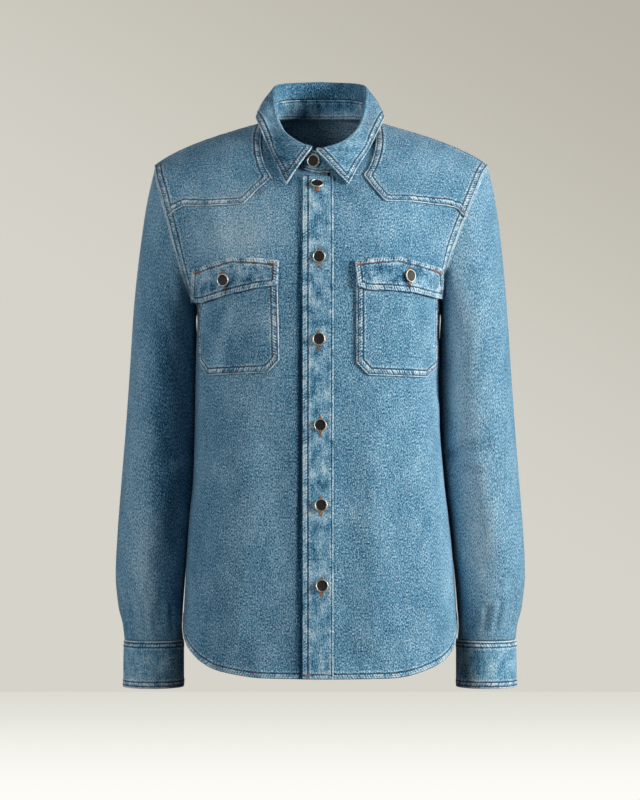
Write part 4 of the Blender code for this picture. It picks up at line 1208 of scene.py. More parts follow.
def wear_group() -> bpy.types.NodeTree:
    """Fading along a seam, from the way to the seam line and the place along it, in millimetres.

    Pale = the sum of narrow ridges at the edge, between the two rows and past the outer row, each
    broken up by a slanting noise, so that the ridge looks roped. Dark is the hollow beside each
    row, and Height follows Pale.

    Returns:
        The group.
    """
    takes = [
        ("Seam", FLOAT, SEAM_REACH), ("Run", FLOAT, 0.0), ("Near Row", FLOAT, TWO_ROWS[0]),
        ("Far Row", FLOAT, TWO_ROWS[1]), ("Roping", FLOAT, 1.0),
    ]
    gives = [("Pale", FLOAT), ("Dark", FLOAT), ("Height", FLOAT)]
    tree, nodes, take, give = new_group("seam_wear", takes, gives)

    def ridge(place: object, width: float) -> Socket:
        """exp(-((seam - place) / width)^2) as a socket."""
        away = nodes.math("DIVIDE", nodes.math("SUBTRACT", take["Seam"], place), width)
        return nodes.math("EXPONENT", nodes.math("MULTIPLY", nodes.math("MULTIPLY", away, away),
                                                 -1.0))

    slant = nodes.math("MULTIPLY_ADD", take["Seam"], 0.55, take["Run"])
    rope = nodes.noise(nodes.combine(nodes.math("MULTIPLY", slant, 0.3),
                                     nodes.math("MULTIPLY", take["Seam"], 0.1)), 1.0, 1.0)
    tick = nodes.math("SINE", nodes.math("MULTIPLY", slant, 2.0 * math.pi / STITCH_PITCH))
    rope = nodes.span(nodes.math("MULTIPLY_ADD", tick, 0.13, rope), 0.36, 0.62)
    slow = nodes.combine(nodes.math("MULTIPLY", take["Run"], 0.05), 7.0)
    long = nodes.span(nodes.noise(slow, 1.0, 1.0), 0.3, 0.65, 0.45, 1.0)
    middle = nodes.math("MULTIPLY", nodes.math("ADD", take["Near Row"], take["Far Row"]), 0.5)
    half = nodes.math("MULTIPLY", nodes.math("SUBTRACT", take["Far Row"], take["Near Row"]), 0.36)
    away = nodes.math("DIVIDE", nodes.math("SUBTRACT", take["Seam"], middle), half)
    plateau = nodes.math("EXPONENT", nodes.math("MULTIPLY", nodes.math("POWER", nodes.math(
        "ABSOLUTE", away), 4.0), -0.7))
    beside = ridge(nodes.math("SUBTRACT", take["Far Row"], 1.9), 1.0)
    past = ridge(nodes.math("ADD", take["Far Row"], 2.0), 1.2)
    roped = nodes.math("MULTIPLY", rope, take["Roping"])
    pale = nodes.math("MULTIPLY", plateau, nodes.math("MULTIPLY_ADD", roped, 0.6, 0.06))
    for line, much, least in ((past, 0.5, 0.15), (ridge(0.7, 1.3), 0.35, 0.85),
                              (beside, 0.4, 0.4)):
        share = nodes.math("MULTIPLY_ADD", roped, much, least)
        pale = nodes.math("ADD", pale, nodes.math("MULTIPLY", line, share))
    pale = nodes.math("MULTIPLY", pale, long, clamp=True)
    nodes.put(pale, give["Pale"])
    dark = nodes.math("ADD", ridge(take["Near Row"], 0.85), ridge(take["Far Row"], 0.9))
    unroped = nodes.math("SUBTRACT", 1.0, rope)
    hollow = nodes.math("MULTIPLY", plateau, nodes.math("MULTIPLY", unroped, take["Roping"]))
    dark = nodes.math("MULTIPLY_ADD", hollow, 0.6, dark, clamp=True)
    nodes.put(dark, give["Dark"])
    nodes.put(nodes.math("SUBTRACT", pale, dark), give["Height"])
    return tree


def thread_group() -> bpy.types.NodeTree:
    """Twisted thread: a fine slanting stripe on object place, with a slow change of shade.

    Returns:
        The group.
    """
    takes, gives = [("Place", VECTOR, None)], [("Shade", FLOAT), ("Height", FLOAT)]
    tree, nodes, take, give = new_group("thread_twist", takes, gives)
    twist = nodes.noise(nodes.scaled(take["Place"], 2600, 2600, 2600), 1.0, 1.0)
    slow = nodes.noise(nodes.scaled(take["Place"], 140, 140, 140), 1.0, 1.0)
    nodes.put(nodes.math("MULTIPLY_ADD", slow, 0.8, nodes.math("MULTIPLY", twist, 0.5)),
              give["Shade"])
    nodes.put(twist, give["Height"])
    return tree


WASH_STOPS = (
    (0.0, (0.006, 0.030, 0.065)),
    (0.25, (0.018, 0.088, 0.170)),
    (0.42, (0.055, 0.200, 0.335)),
    (0.5, (0.093, 0.285, 0.447)),
    (0.6, (0.158, 0.380, 0.540)),
    (0.75, (0.315, 0.530, 0.658)),
    (1.0, (0.690, 0.780, 0.815)),
)


@dataclass(frozen=True)
class Denim:
    """Washed denim of one kind of piece.

    Attributes:
        name: the material's name.
        shade: added to the wash, so that more is paler.
        fleck: strength of the short flecks.
        slub: strength of the long streaks.
        cloud: strength of the cloudy fading.
        cloud_size: the clouds' frequency, where more is smaller.
        roping: strength of the roped seam.
        slot: the record's material slot.
    """

    name: str
    shade: float = 0.0
    fleck: float = 1.1
    slub: float = 1.0
    cloud: float = 1.0
    cloud_size: float = 1.0
    roping: float = 1.0
    slot: str = "denim"

    def material(self, groups: Groups) -> Material:
        """The material, made once."""
        return material(self.name, lambda nodes, shader: self.fill(nodes, shader, groups))

    def fill(self, nodes: Nodes, shader: bpy.types.Node, groups: Groups) -> None:
        """Colour from the weave's wash, the spots of painted light and shade with some wash fade,
        and the seams' wear, with both their bumps.

        Args:
            nodes: the material's node maker.
            shader: its surface node.
            groups: the shader groups by name.
        """
        seam, run, near, far, fade = (
            nodes.add("ShaderNodeAttribute", attribute_name=key).outputs["Fac"]
            for key in ("seam", "run", "near", "far", "fade")
        )
        weave = nodes.group(groups["weave"], {
            "Place": nodes.add("ShaderNodeUVMap", uv_map="cloth").outputs[0], "Fleck": self.fleck,
            "Slub": self.slub, "Cloud": self.cloud, "Cloud Size": self.cloud_size,
        })
        wear = nodes.group(groups["wear"], {
            "Seam": seam, "Run": run, "Near Row": near, "Far Row": far, "Roping": self.roping,
        })
        # adds the spots of painted light and painted shade, with some wash fade, to the wash
        wash = nodes.math("ADD", nodes.math("ADD", weave.outputs["Wash"], self.shade), fade)
        wash = nodes.math("MULTIPLY_ADD", wear.outputs["Pale"], 0.58, wash)
        wash = nodes.math("MULTIPLY_ADD", wear.outputs["Dark"], -0.36, wash, clamp=True)
        fine = nodes.bump(weave.outputs["Height"], 0.32, 0.0004)
        coarse = nodes.bump(wear.outputs["Height"], 0.6, 0.0008)
        nodes.feed(coarse, {"Normal": fine.outputs["Normal"]})
        nodes.feed(shader, {
            "Base Color": nodes.ramp(wash, WASH_STOPS),
            "Roughness": nodes.math("MULTIPLY_ADD", wear.outputs["Pale"], -0.06, 0.93),
            "Normal": coarse.outputs["Normal"], "Specular IOR Level": 0.18,
            "Sheen Weight": 0.12, "Sheen Roughness": 0.5,
        })


@dataclass(frozen=True)
class Thread:
    """Sewing thread of one colour.

    Attributes:
        name: the material's name.
        dark: its colour in the twist's hollows.
        light: its colour on the twist.
    """

    name: str
    dark: Triple
    light: Triple

    def material(self, groups: Groups) -> Material:
        """The material, made once."""
        return material(self.name, lambda nodes, shader: self.fill(nodes, shader, groups))

    def fill(self, nodes: Nodes, shader: bpy.types.Node, groups: Groups) -> None:
        """Colour and bump from the twist.

        Args:
            nodes: the material's node maker.
            shader: its surface node.
            groups: the shader groups by name.
        """
        place = nodes.add("ShaderNodeTexCoord").outputs["Object"]
        twist = nodes.group(groups["thread"], {"Place": place})
        nodes.feed(shader, {
            "Base Color": nodes.ramp(twist.outputs["Shade"],
                                     ((0.35, self.dark), (0.85, self.light))),
            "Normal": nodes.bump(twist.outputs["Height"], 0.4, 0.0002).outputs["Normal"],
            "Roughness": 0.62, "Specular IOR Level": 0.35,
        })


class Metal(Enum):
    """The two finishes of a button."""

    RIM = "button_rim"
    FACE = "button_face"

    def material(self) -> Material:
        """The material, made once."""
        return material(self.value, self.fill)

    def fill(self, nodes: Nodes, shader: bpy.types.Node) -> None:
        """Pale worn gold for the rim, dark enamel with a clear coat for the face.

        Args:
            nodes: the material's node maker.
            shader: its surface node.
        """
        place = nodes.add("ShaderNodeTexCoord").outputs["Object"]
        cloud = nodes.noise(nodes.scaled(place, 260, 260, 260), 1.0, 3.0)
        scratch = nodes.noise(nodes.scaled(place, 2400, 900, 1700), 1.0, 2.0)
        if self is Metal.RIM:
            stops, rough = ((0.3, (0.80, 0.68, 0.48)), (0.7, (0.98, 0.93, 0.82))), (0.34, 0.52)
            plain = {"Metallic": 1.0}
        else:
            stops, rough = ((0.3, (0.008, 0.008, 0.010)), (0.7, (0.020, 0.019, 0.021))), (0.45, 0.6)
            plain = {"Specular IOR Level": 0.3, "Coat Weight": 0.08, "Coat Roughness": 0.15}
        colour, roughness = nodes.ramp(cloud, stops), nodes.span(scratch, 0.3, 0.7, *rough)
        nodes.feed(shader, {"Base Color": colour, "Roughness": roughness, **plain})


BROWN = Thread("thread_brown", (0.050, 0.026, 0.022), (0.200, 0.105, 0.080))
ORANGE = Thread("thread_orange", (0.20, 0.070, 0.020), (0.56, 0.225, 0.070))

PANEL_DENIM = Denim("denim_panel", roping=0.7)
ARM_DENIM = Denim("denim_sleeve", shade=0.02, roping=0.2)
YOKE_DENIM = Denim("denim_yoke", slot="denim_pale")
POCKET_DENIM = Denim("denim_pocket", cloud=1.9)
FLAP_DENIM = Denim("denim_flap", cloud=4.2, cloud_size=3.0, slot="denim_dark")
BAND_DENIM = Denim("denim_band", shade=0.06, fleck=0.85, cloud=3.8, cloud_size=2.9, roping=0.5,
                   slot="denim_dark")
CUFF_DENIM = Denim("denim_cuff", shade=0.09, fleck=0.8, cloud=2.7, cloud_size=2.4,
                   slot="denim_dark")
COLLAR_DENIM = Denim("denim_collar", cloud=1.6, cloud_size=3.0, roping=0.8)


# Seams, cloth pieces and thread


@dataclass
class Seam:
    """A sewn edge of a piece.

    Attributes:
        points: the edge's points in order.
        inward: the way into the piece at each point, square to the edge.
        rows: how far in each row of stitches runs.
        thread: the thread's finish.
        fold: how far the doubled cloth stands up, and how far in it ends.
        pucker: the height of the waves along it.
    """

    points: Array
    inward: Array
    rows: tuple[float, ...]
    thread: Thread
    fold: tuple[float, float]
    pucker: float

    def span(self) -> tuple[float, float]:
        """Where the roped stretch starts and ends: between two rows, or from the edge to one."""
        if not self.rows:
            return 60.0, 70.0
        return (self.rows[0] if len(self.rows) > 1 else 0.3), self.rows[-1]


@dataclass
class Grid:
    """A grid of surface points with its outward directions.

    Attributes:
        points: rows by columns of points, in millimetres.
        inside: a point inside the piece's curve for each point, or one for all.
        closed: whether the columns run all the way round.
        cut: the first column of a second half, with no cloth between it and the one before; the
            halves share the points where those two columns meet. Zero for one whole grid.
    """

    points: Array
    inside: Array
    closed: bool = False
    cut: int = 0

    def normals(self) -> Array:
        """The cross product of central differences along the rows and columns, turned outwards.

        Returns:
            A unit vector for each point.
        """
        if self.closed:
            across = np.roll(self.points, -1, axis=1) - np.roll(self.points, 1, axis=1)
        else:
            halves = np.split(self.points, [self.cut], axis=1) if self.cut else [self.points]
            across = np.concatenate([np.gradient(half, axis=1) for half in halves], axis=1)
        down = np.gradient(self.points, axis=0)
        normal = unit(np.cross(across, down))
        if self.cut:
            pair = self.points[:, self.cut - 1:self.cut + 1]
            joined = np.linalg.norm(pair[:, 1] - pair[:, 0], axis=-1) < 1e-6
            shared = unit(normal[joined, self.cut - 1] + normal[joined, self.cut])
            normal[joined, self.cut - 1] = normal[joined, self.cut] = shared
        outwards = (normal * (self.points - self.inside)).sum()
        return normal if outwards > 0 else -normal

    def flipped(self) -> bool:
        """Whether a quad in grid order faces inwards.

        Returns:
            True where the quads have to be turned.
        """
        a, b, c = self.points[:-1, :-1], self.points[:-1, 1:], self.points[1:, 1:]
        facing = np.cross(b - a, c - a)
        inside = np.broadcast_to(self.inside, self.points.shape)[:-1, :-1]
        return bool((facing * (a - inside)).sum() < 0)

    def lengths(self) -> tuple[Array, Array]:
        """The way along each row and down each column, from the first point.

        Returns:
            Both lengths at each point.
        """
        across = np.linalg.norm(np.diff(self.points, axis=1), axis=-1)
        down = np.linalg.norm(np.diff(self.points, axis=0), axis=-1)
        pad_across = np.concatenate([np.zeros((len(self.points), 1)), across], axis=1)
        pad_down = np.concatenate([np.zeros((1, self.points.shape[1])), down], axis=0)
        return np.cumsum(pad_across, axis=1), np.cumsum(pad_down, axis=0)

    def edge(self, which: str) -> tuple[Array, Array]:
        """A boundary line and the way in from it: first_row, last_row, first_column or last_column.

        Args:
            which: the boundary's name.

        Returns:
            Its points, and unit vectors into the grid square to it.
        """
        grid = self.points if which.endswith("row") else self.points.swapaxes(0, 1)
        line, next_in = (grid[0], grid[1]) if which.startswith("first") else (grid[-1], grid[-2])
        tangent = unit(np.gradient(line, axis=0))
        way = next_in - line
        way = way - (way * tangent).sum(axis=-1, keepdims=True) * tangent
        return line, unit(way)

    def seam(self, names: str, rows: tuple[float, ...] = TWO_ROWS,
             fold: tuple[float, float] = (0.45, 9.5), pucker: float = 0.3,
             thread: Thread = BROWN, skip: int = 0) -> Seam:
        """A sewn edge along one boundary or more, one after the other.

        Args:
            names: the boundaries in order, each run the other way where it starts with a minus.
            rows: how far in each row of stitches runs.
            fold: how far the doubled cloth stands up, and how far in it ends.
            pucker: the height of the waves along it.
            thread: the thread's finish.
            skip: how many points the columns leave out at their start.

        Returns:
            The seam.
        """
        parts = []
        for name in names.split():
            start = skip if name.endswith("column") else 0
            line, inward = self.edge(name.removeprefix("-"))
            way = -1 if name.startswith("-") else 1
            parts.append((line[start:][::way], inward[start:][::way]))
        points, inward = (np.concatenate(half) for half in zip(*parts))
        return Seam(points, inward, rows, thread, fold, pucker)


def seam_place(points: Array, seams: Sequence[Seam]) -> tuple[Array, Array, Array]:
    """The way to the nearest seam line, and the place along it.

    Each point is dropped square on each straight run of each seam, and the shortest drop counts.

    Args:
        points: any array of points with the coordinates last.
        seams: the seams of the piece.

    Returns:
        The distance, the run along the seam, and the number of the seam.
    """
    flat = points.reshape(-1, 3).astype(np.float32)
    best = np.full(len(flat), SEAM_REACH, np.float32)
    run_at = np.zeros(len(flat), np.float32)
    which = np.full(len(flat), -1)
    for number, seam in enumerate(seams):
        start = seam.points[:-1].astype(np.float32)
        step = np.diff(seam.points, axis=0).astype(np.float32)
        size = np.maximum((step**2).sum(axis=1), 1e-6)
        before = np.concatenate([[0.0], np.cumsum(np.sqrt(size))[:-1]]).astype(np.float32)
        low = seam.points.min(axis=0) - SEAM_REACH
        high = seam.points.max(axis=0) + SEAM_REACH
        near = np.flatnonzero(((flat > low) & (flat < high)).all(axis=1))
        for piece in np.array_split(near, max(1, len(near) * len(start) // 4_000_000)):
            if not len(piece):
                continue
            away = flat[piece][:, None] - start[None]
            share = np.clip((away * step[None]).sum(axis=-1) / size, 0, 1)
            away = np.linalg.norm(away - share[..., None] * step[None], axis=-1)
            nearest = away.argmin(axis=1)
            rows = np.arange(len(piece))
            distance = away[rows, nearest]
            along_it = before[nearest] + share[rows, nearest] * np.sqrt(size[nearest])
            closer = distance < best[piece]
            chosen = piece[closer]
            best[chosen], run_at[chosen], which[chosen] = (
                distance[closer], along_it[closer] + SEAMS_APART * number, number
            )
    shape = points.shape[:-1]
    return best.reshape(shape), run_at.reshape(shape), which.reshape(shape)


@dataclass
class Cloth:
    """One cut piece as a thin shell.

    Attributes:
        node: the solid that it stands for.
        grid: its outer face before the seam relief.
        thickness: its wall.
        finish: its denim.
        cut: the width and length that it was cut to, in metres.
        seams: its sewn edges.
        held: how the sheet is held; not used.
        rests: what it hangs from.
        shift: moves its pattern, so that no two pieces match.
    """

    node: str
    grid: Grid
    thickness: float
    finish: Denim
    cut: tuple[float, float]
    seams: list[Seam] = field(default_factory=list)
    held: str = "draped"
    rests: tuple[str, ...] = ()
    shift: float = 0.0
    relieved: Array = field(init=False)
    facing: Array = field(init=False)

    @property
    def name(self) -> str:
        """The piece's name."""
        return f"cloth_{self.node}"

    def relief(self) -> tuple[Array, Array, Array, Array]:
        """The height that the seams add, with the distance to them and the run along them.

        Height = the doubled cloth's step, less a groove exp(-((d - row) / 0.8)^2) at each row,
        plus waves along the seam that fade with the distance from its middle.

        Returns:
            The height, the distance, the run and the seam's number.
        """
        distance, run, which = seam_place(self.grid.points, self.seams)
        height = np.zeros(distance.shape)
        for number, seam in enumerate(self.seams):
            mine = which == number
            rise, end = seam.fold
            part = rise * (1 - eased((distance - end) / 2.2))
            for row in seam.rows:
                part = part - 0.28 * np.exp(-(((distance - row) / 0.8) ** 2))
            middle = sum(seam.rows) / max(len(seam.rows), 1)
            wave = ripple(run + 0.5 * distance, self.shift, 7.0)
            wave = wave + 0.7 * ripple(run, self.shift + 1.7, 17.0)
            part = part + seam.pucker * wave * np.exp(-(((distance - middle) / 8.0) ** 2))
            height = np.where(mine, part, height)
        return height, distance, run, which

    def faces(self) -> Array:
        """The grid's quads facing outwards, without the strip between two halves.

        Returns:
            The four point numbers of each quad.
        """
        rows, columns = self.grid.points.shape[:2]
        faces = grid_faces(rows, columns, self.grid.closed)
        if self.grid.cut:
            faces = faces[faces[:, 0] % columns != self.grid.cut - 1]
        return faces[:, ::-1] if self.grid.flipped() else faces

    def pattern(self, corner: Array) -> Array:
        """Where each corner of the faces lies on the flat pattern, in metres.

        The way along the row from its middle, evened out round a tube, and the way down the
        column, both moved by the shift.

        Args:
            corner: the number of the point at each corner.

        Returns:
            The two places of each corner.
        """
        points, columns = self.grid.points, self.grid.points.shape[1]
        across, down = self.grid.lengths()
        across = across - across[:, [(columns - 1) // 2, columns // 2]].mean(axis=1, keepdims=True)
        gap = np.linalg.norm(points[:, 0] - points[:, -1], axis=-1)
        if self.grid.closed:
            girth = across[:, -1] - across[:, 0] + gap
            even = girth.mean() / girth
            across, gap = across * even[:, None], gap * even
        place = np.stack([across, down + 37.0 * self.shift], axis=-1) * MM
        place[..., 0] += 0.11 * self.shift
        values = place.reshape(-1, 2)[corner]
        if self.grid.closed:
            column = corner % columns
            last = column.reshape(-1, 4).max(axis=1) == columns - 1
            wraps = np.repeat(last, 4) & (column == 0)
            values[wraps, 0] = (place[:, -1, 0] + gap * MM)[corner[wraps] // columns]
        return values

    def area(self) -> float:
        """The outer face's area in square metres.

        Returns:
            The area.
        """
        points = self.grid.points
        sides = np.diff(points, axis=1)[:-1], np.diff(points, axis=0)[:, :-1]
        cells = np.linalg.norm(np.cross(*sides), axis=-1)
        if self.grid.cut:
            cells[:, self.grid.cut - 1] = 0.0
        return cells.sum() * MM * MM

    def build(self, groups: Groups) -> None:
        """Makes the shell, its pattern places and its wall, and puts it in the frame.

        Args:
            groups: the shader groups by name.
        """
        height, distance, run, which = self.relief()
        self.facing = self.grid.normals()
        self.relieved = self.grid.points + height[..., None] * self.facing
        made = make_mesh(self.name, self.relieved.reshape(-1, 3), self.faces())
        mesh = made.data
        corner = np.empty(len(mesh.loops), np.int32)
        mesh.loops.foreach_get("vertex_index", corner)
        places = self.pattern(corner).astype(np.float32).ravel()
        mesh.uv_layers.new(name="cloth").data.foreach_set("uv", places)
        spans = np.array([seam.span() for seam in self.seams] + [TWO_ROWS])[which]
        # the last attribute holds the spots of painted light and painted shade, with some wash fade
        for key, values in (("seam", distance), ("run", run), ("near", spans[..., 0]),
                            ("far", spans[..., 1]), ("fade", faded(self.grid.points))):
            set_attribute(mesh, key, values)
        if self.grid.cut:
            whole = bmesh.new()
            whole.from_mesh(mesh)
            bmesh.ops.remove_doubles(whole, verts=whole.verts, dist=1e-6)
            whole.to_mesh(mesh)
            whole.free()
        wall = made.modifiers.new("wall", "SOLIDIFY")
        wall.thickness, wall.offset = self.thickness * MM, -1.0
        mesh.materials.append(self.finish.material(groups))
        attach(made, "root")
        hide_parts(self.node)
        area, whole_cut = self.area(), self.cut[0] * self.cut[1]
        list(self.rests)
        LOG.info("%s: %d points, %.4f square metres", self.name, distance.size, area)

    def snap(self, points: Array, lift: float) -> tuple[Array, Array]:
        """Drops points on the plane of the nearest grid point, then raises them.

        Args:
            points: places near the cloth.
            lift: how far over the cloth they end.

        Returns:
            The moved points and the outward direction there.
        """
        flat = self.relieved.reshape(-1, 3).astype(np.float32)
        facing = self.facing.reshape(-1, 3)
        nearest = np.empty(len(points), np.int64)
        count = max(1, len(points) * len(flat) // 6_000_000)
        for part in np.array_split(np.arange(len(points)), count):
            if not len(part):
                continue
            away = ((points[part].astype(np.float32)[:, None] - flat[None]) ** 2).sum(axis=-1)
            nearest[part] = away.argmin(axis=1)
        up = facing[nearest]
        over = ((points - flat[nearest]) * up).sum(axis=1)
        return points - over[:, None] * up + lift * up, up


def offset_line(seam: Seam, distance: float) -> Array:
    """The seam's line moved in by a distance, without the points that come too near another part.

    Args:
        seam: the seam.
        distance: how far in.

    Returns:
        The points that are left, in order.
    """
    moved = seam.points + seam.inward * distance
    away, _, _ = seam_place(moved, [seam])
    return moved[away > distance - 0.12]


def even_places(line: Array, pitch: float) -> tuple[Array, Array]:
    """Points at even steps along a line, with the line's direction at each.

    Args:
        line: the line's points.
        pitch: the step in millimetres.

    Returns:
        The points and the unit directions.
    """
    step = np.linalg.norm(np.diff(line, axis=0), axis=1)
    run = np.concatenate([[0.0], np.cumsum(step)])
    count = max(2, int(run[-1] / pitch))
    at = (np.arange(count) + 0.5) * run[-1] / count
    here, ahead, behind = (
        np.stack([np.interp(at + step, run, line[:, k]) for k in range(3)], axis=-1)
        for step in (0.0, 0.5, -0.5)
    )
    return here, unit(ahead - behind)


@dataclass
class Stitches:
    """Stitches of one thread, gathered from many rows into one mesh.

    Attributes:
        name: the piece's name.
        thread: its finish.
        slot: the record's material slot; not used.
    """

    name: str
    thread: Thread
    slot: str = "denim_dark"
    centres: list[Array] = field(default_factory=list)
    runs: list[Array] = field(default_factory=list)
    ups: list[Array] = field(default_factory=list)
    sizes: list[Array] = field(default_factory=list)

    def add(self, centres: Array, runs: Array, ups: Array, length: float, radius: float) -> None:
        """Adds stitches with their directions along and up, all of one length and radius.

        Args:
            centres: the stitches' middles.
            runs: the way each one runs.
            ups: the way out of the cloth at each.
            length: their length.
            radius: their radius.
        """
        self.centres.append(centres)
        self.runs.append(runs)
        self.ups.append(ups)
        self.sizes.append(np.tile([length, radius], (len(centres), 1)))

    def row(self, cloth: Cloth, line: Array) -> None:
        """Adds a row of stitches along a line on a piece.

        Args:
            cloth: the piece.
            line: the line's points.
        """
        if len(line) < 3:
            return
        centres, runs = even_places(line, STITCH_PITCH)
        centres, ups = cloth.snap(centres, STITCH_RADIUS * 0.35)
        self.add(centres, runs, ups, STITCH_LENGTH, STITCH_RADIUS)

    def bar(self, cloth: Cloth, start: Array, end: Array) -> None:
        """Adds a bar tack: short stitches side by side from one place to another.

        Args:
            cloth: the piece.
            start: the bar's first end.
            end: its other end.
        """
        count = max(4, int(np.linalg.norm(end - start) / BAR_PITCH))
        share = (np.arange(count) + 0.5)[:, None] / count
        centres, ups = cloth.snap(start[None] * (1 - share) + end[None] * share, 0.45)
        runs = unit(np.cross(ups, end - start))
        self.add(centres, runs, ups, BAR_WIDTH, STITCH_RADIUS)

    def build(self, groups: Groups) -> None:
        """Each stitch is a four-sided spindle: two tips and three rings, flattened on the cloth.

        Args:
            groups: the shader groups by name.
        """
        centre = np.concatenate(self.centres)[:, None]
        run = unit(np.concatenate(self.runs))[:, None]
        up = np.concatenate(self.ups)[:, None]
        size = np.concatenate(self.sizes)
        side = unit(np.cross(up, run))
        turn = np.radians([45, 135, 225, 315])
        rings = [
            np.stack([np.full(4, place), wide * np.cos(turn), wide * np.sin(turn)], axis=-1)
            for place, wide in ((-0.34, 0.8), (0.0, 1.0), (0.34, 0.8))
        ]
        tips = np.array([[-0.5, 0.0, -0.35], [0.5, 0.0, -0.35]])
        shape = np.concatenate([tips[:1], *rings, tips[1:]])
        length, radius = size[:, :1, None], size[:, 1:, None]
        points = (
            centre
            + run * shape[None, :, :1] * length
            + side * shape[None, :, 1:2] * radius * 1.25
            + up * shape[None, :, 2:] * radius * 1.1
        )
        around = np.arange(4)
        after = (around + 1) % 4
        faces = [np.stack([np.zeros(4, int), 1 + after, 1 + around], axis=-1)]
        for ring_start in (1, 5):
            low, low_next = ring_start + around, ring_start + after
            faces.append(np.stack([low, low_next, low_next + 4], axis=-1))
            faces.append(np.stack([low, low_next + 4, low + 4], axis=-1))
        faces.append(np.stack([9 + around, 9 + after, np.full(4, len(shape) - 1)], axis=-1))
        one = np.concatenate(faces)
        count = len(points)
        every = (one[None] + len(shape) * np.arange(count)[:, None, None]).reshape(-1, 3)
        a, b, c = (points[0][one[:, k]] for k in range(3))
        if (np.cross(b - a, c - a) * (a - points[0].mean(axis=0))).sum() < 0:
            every = every[:, ::-1]
        made = make_mesh(self.name, points.reshape(-1, 3), every)
        made.data.materials.append(self.thread.material(groups))
        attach(made, "root")
        LOG.info("%s: %d stitches", self.name, count)


# Sub-assemblies


def fine_stations(count: int) -> Array:
    """The armhole's stations with more between them, closer where the table is."""
    return np.interp(np.linspace(0, len(STATIONS) - 1, count), np.arange(len(STATIONS)), STATIONS)


@dataclass
class Body:
    """The two fronts and the back.

    Attributes:
        forms: the four halves.
        columns: points from the middle to the side seam.
        side_columns: how many of them crowd towards the side seam.
        side_share: the share of the way at which the crowded ones start.
        climbs: rows from the hem to the underarm.
        hem_rows: rows crowded at the hem.
        hem_share: the share of the climb that they take.
        stations: heights of the rows above the underarm.
    """

    forms: dict[str, PanelForm]
    columns: int = 78
    side_columns: int = 16
    side_share: float = 0.88
    climbs: int = 150
    hem_rows: int = 12
    hem_share: float = 0.035
    stations: Array = field(default_factory=lambda: fine_stations(71))

    def grid(self, name: str) -> Array:
        """The points of a half: level rows up to the underarm, then the rows of the stations.

        Args:
            name: the half's name.

        Returns:
            The points in rows.
        """
        form = self.forms[name]
        even = np.linspace(0, self.side_share, self.columns - self.side_columns)
        crowded = np.linspace(self.side_share, 1.0, self.side_columns + 1)[1:]
        share = np.concatenate([even, crowded])
        hem_column = name if form.depth == "front" else "back"
        hem = HEM.smooth("share", share, hem_column)
        climb = np.concatenate([np.linspace(0, self.hem_share, self.hem_rows),
                                np.linspace(self.hem_share, 1, self.climbs)[1:]])
        lower = form.point(share[None], hem + (UNDERARM - hem) * climb[:, None])
        upper = form.point(share[None], self.stations[1:, None])
        return np.concatenate([lower, upper])

    def hem_seam(self, grid: Grid) -> Seam:
        """The rolled hem: one row of stitches over a narrow double fold."""
        return grid.seam("first_row", (6.2,), (0.7, 6.9), 0.42)

    def armhole_seam(self, grid: Grid, column: str, top: float) -> Seam:
        """The armhole's double row, up to where the yoke covers it.

        Args:
            grid: the piece's grid.
            column: the boundary's name.
            top: the station of its upper end.

        Returns:
            The seam.
        """
        keep = self.stations <= top
        line, inward = (part[-len(keep):][keep] for part in grid.edge(column))
        return Seam(line, inward, (1.8, 8.2), BROWN, (0.4, 9.4), 0.28)

    def pieces(self) -> list[Cloth]:
        """The fronts and the back with their hems and armholes.

        Returns:
            The pieces.
        """
        made = []
        for number, side in enumerate(Side):
            name = f"front_{side.word}"
            points = self.grid(name)
            grid = Grid(points, points * np.array([0.0, 0.0, 1.0]))
            seams = [self.hem_seam(grid), self.armhole_seam(grid, "last_column", -112.0)]
            made.append(Cloth(name, grid, CLOTH, PANEL_DENIM, (0.27, 0.70), seams,
                              rests=("back", f"sleeve_{side.word}"), shift=1.3 + number))
        right, left = self.grid("back_right"), self.grid("back_left")
        points = np.concatenate([right[:, ::-1], left], axis=1)
        grid = Grid(points, points * np.array([0.0, 0.0, 1.0]), cut=right.shape[1])
        seams = [self.hem_seam(grid), self.armhole_seam(grid, "first_column", 0.0),
                 self.armhole_seam(grid, "last_column", 0.0)]
        made.append(Cloth("back", grid, CLOTH, PANEL_DENIM, (0.50, 0.74), seams,
                          rests=("collar_stand",), shift=3.7))
        return made


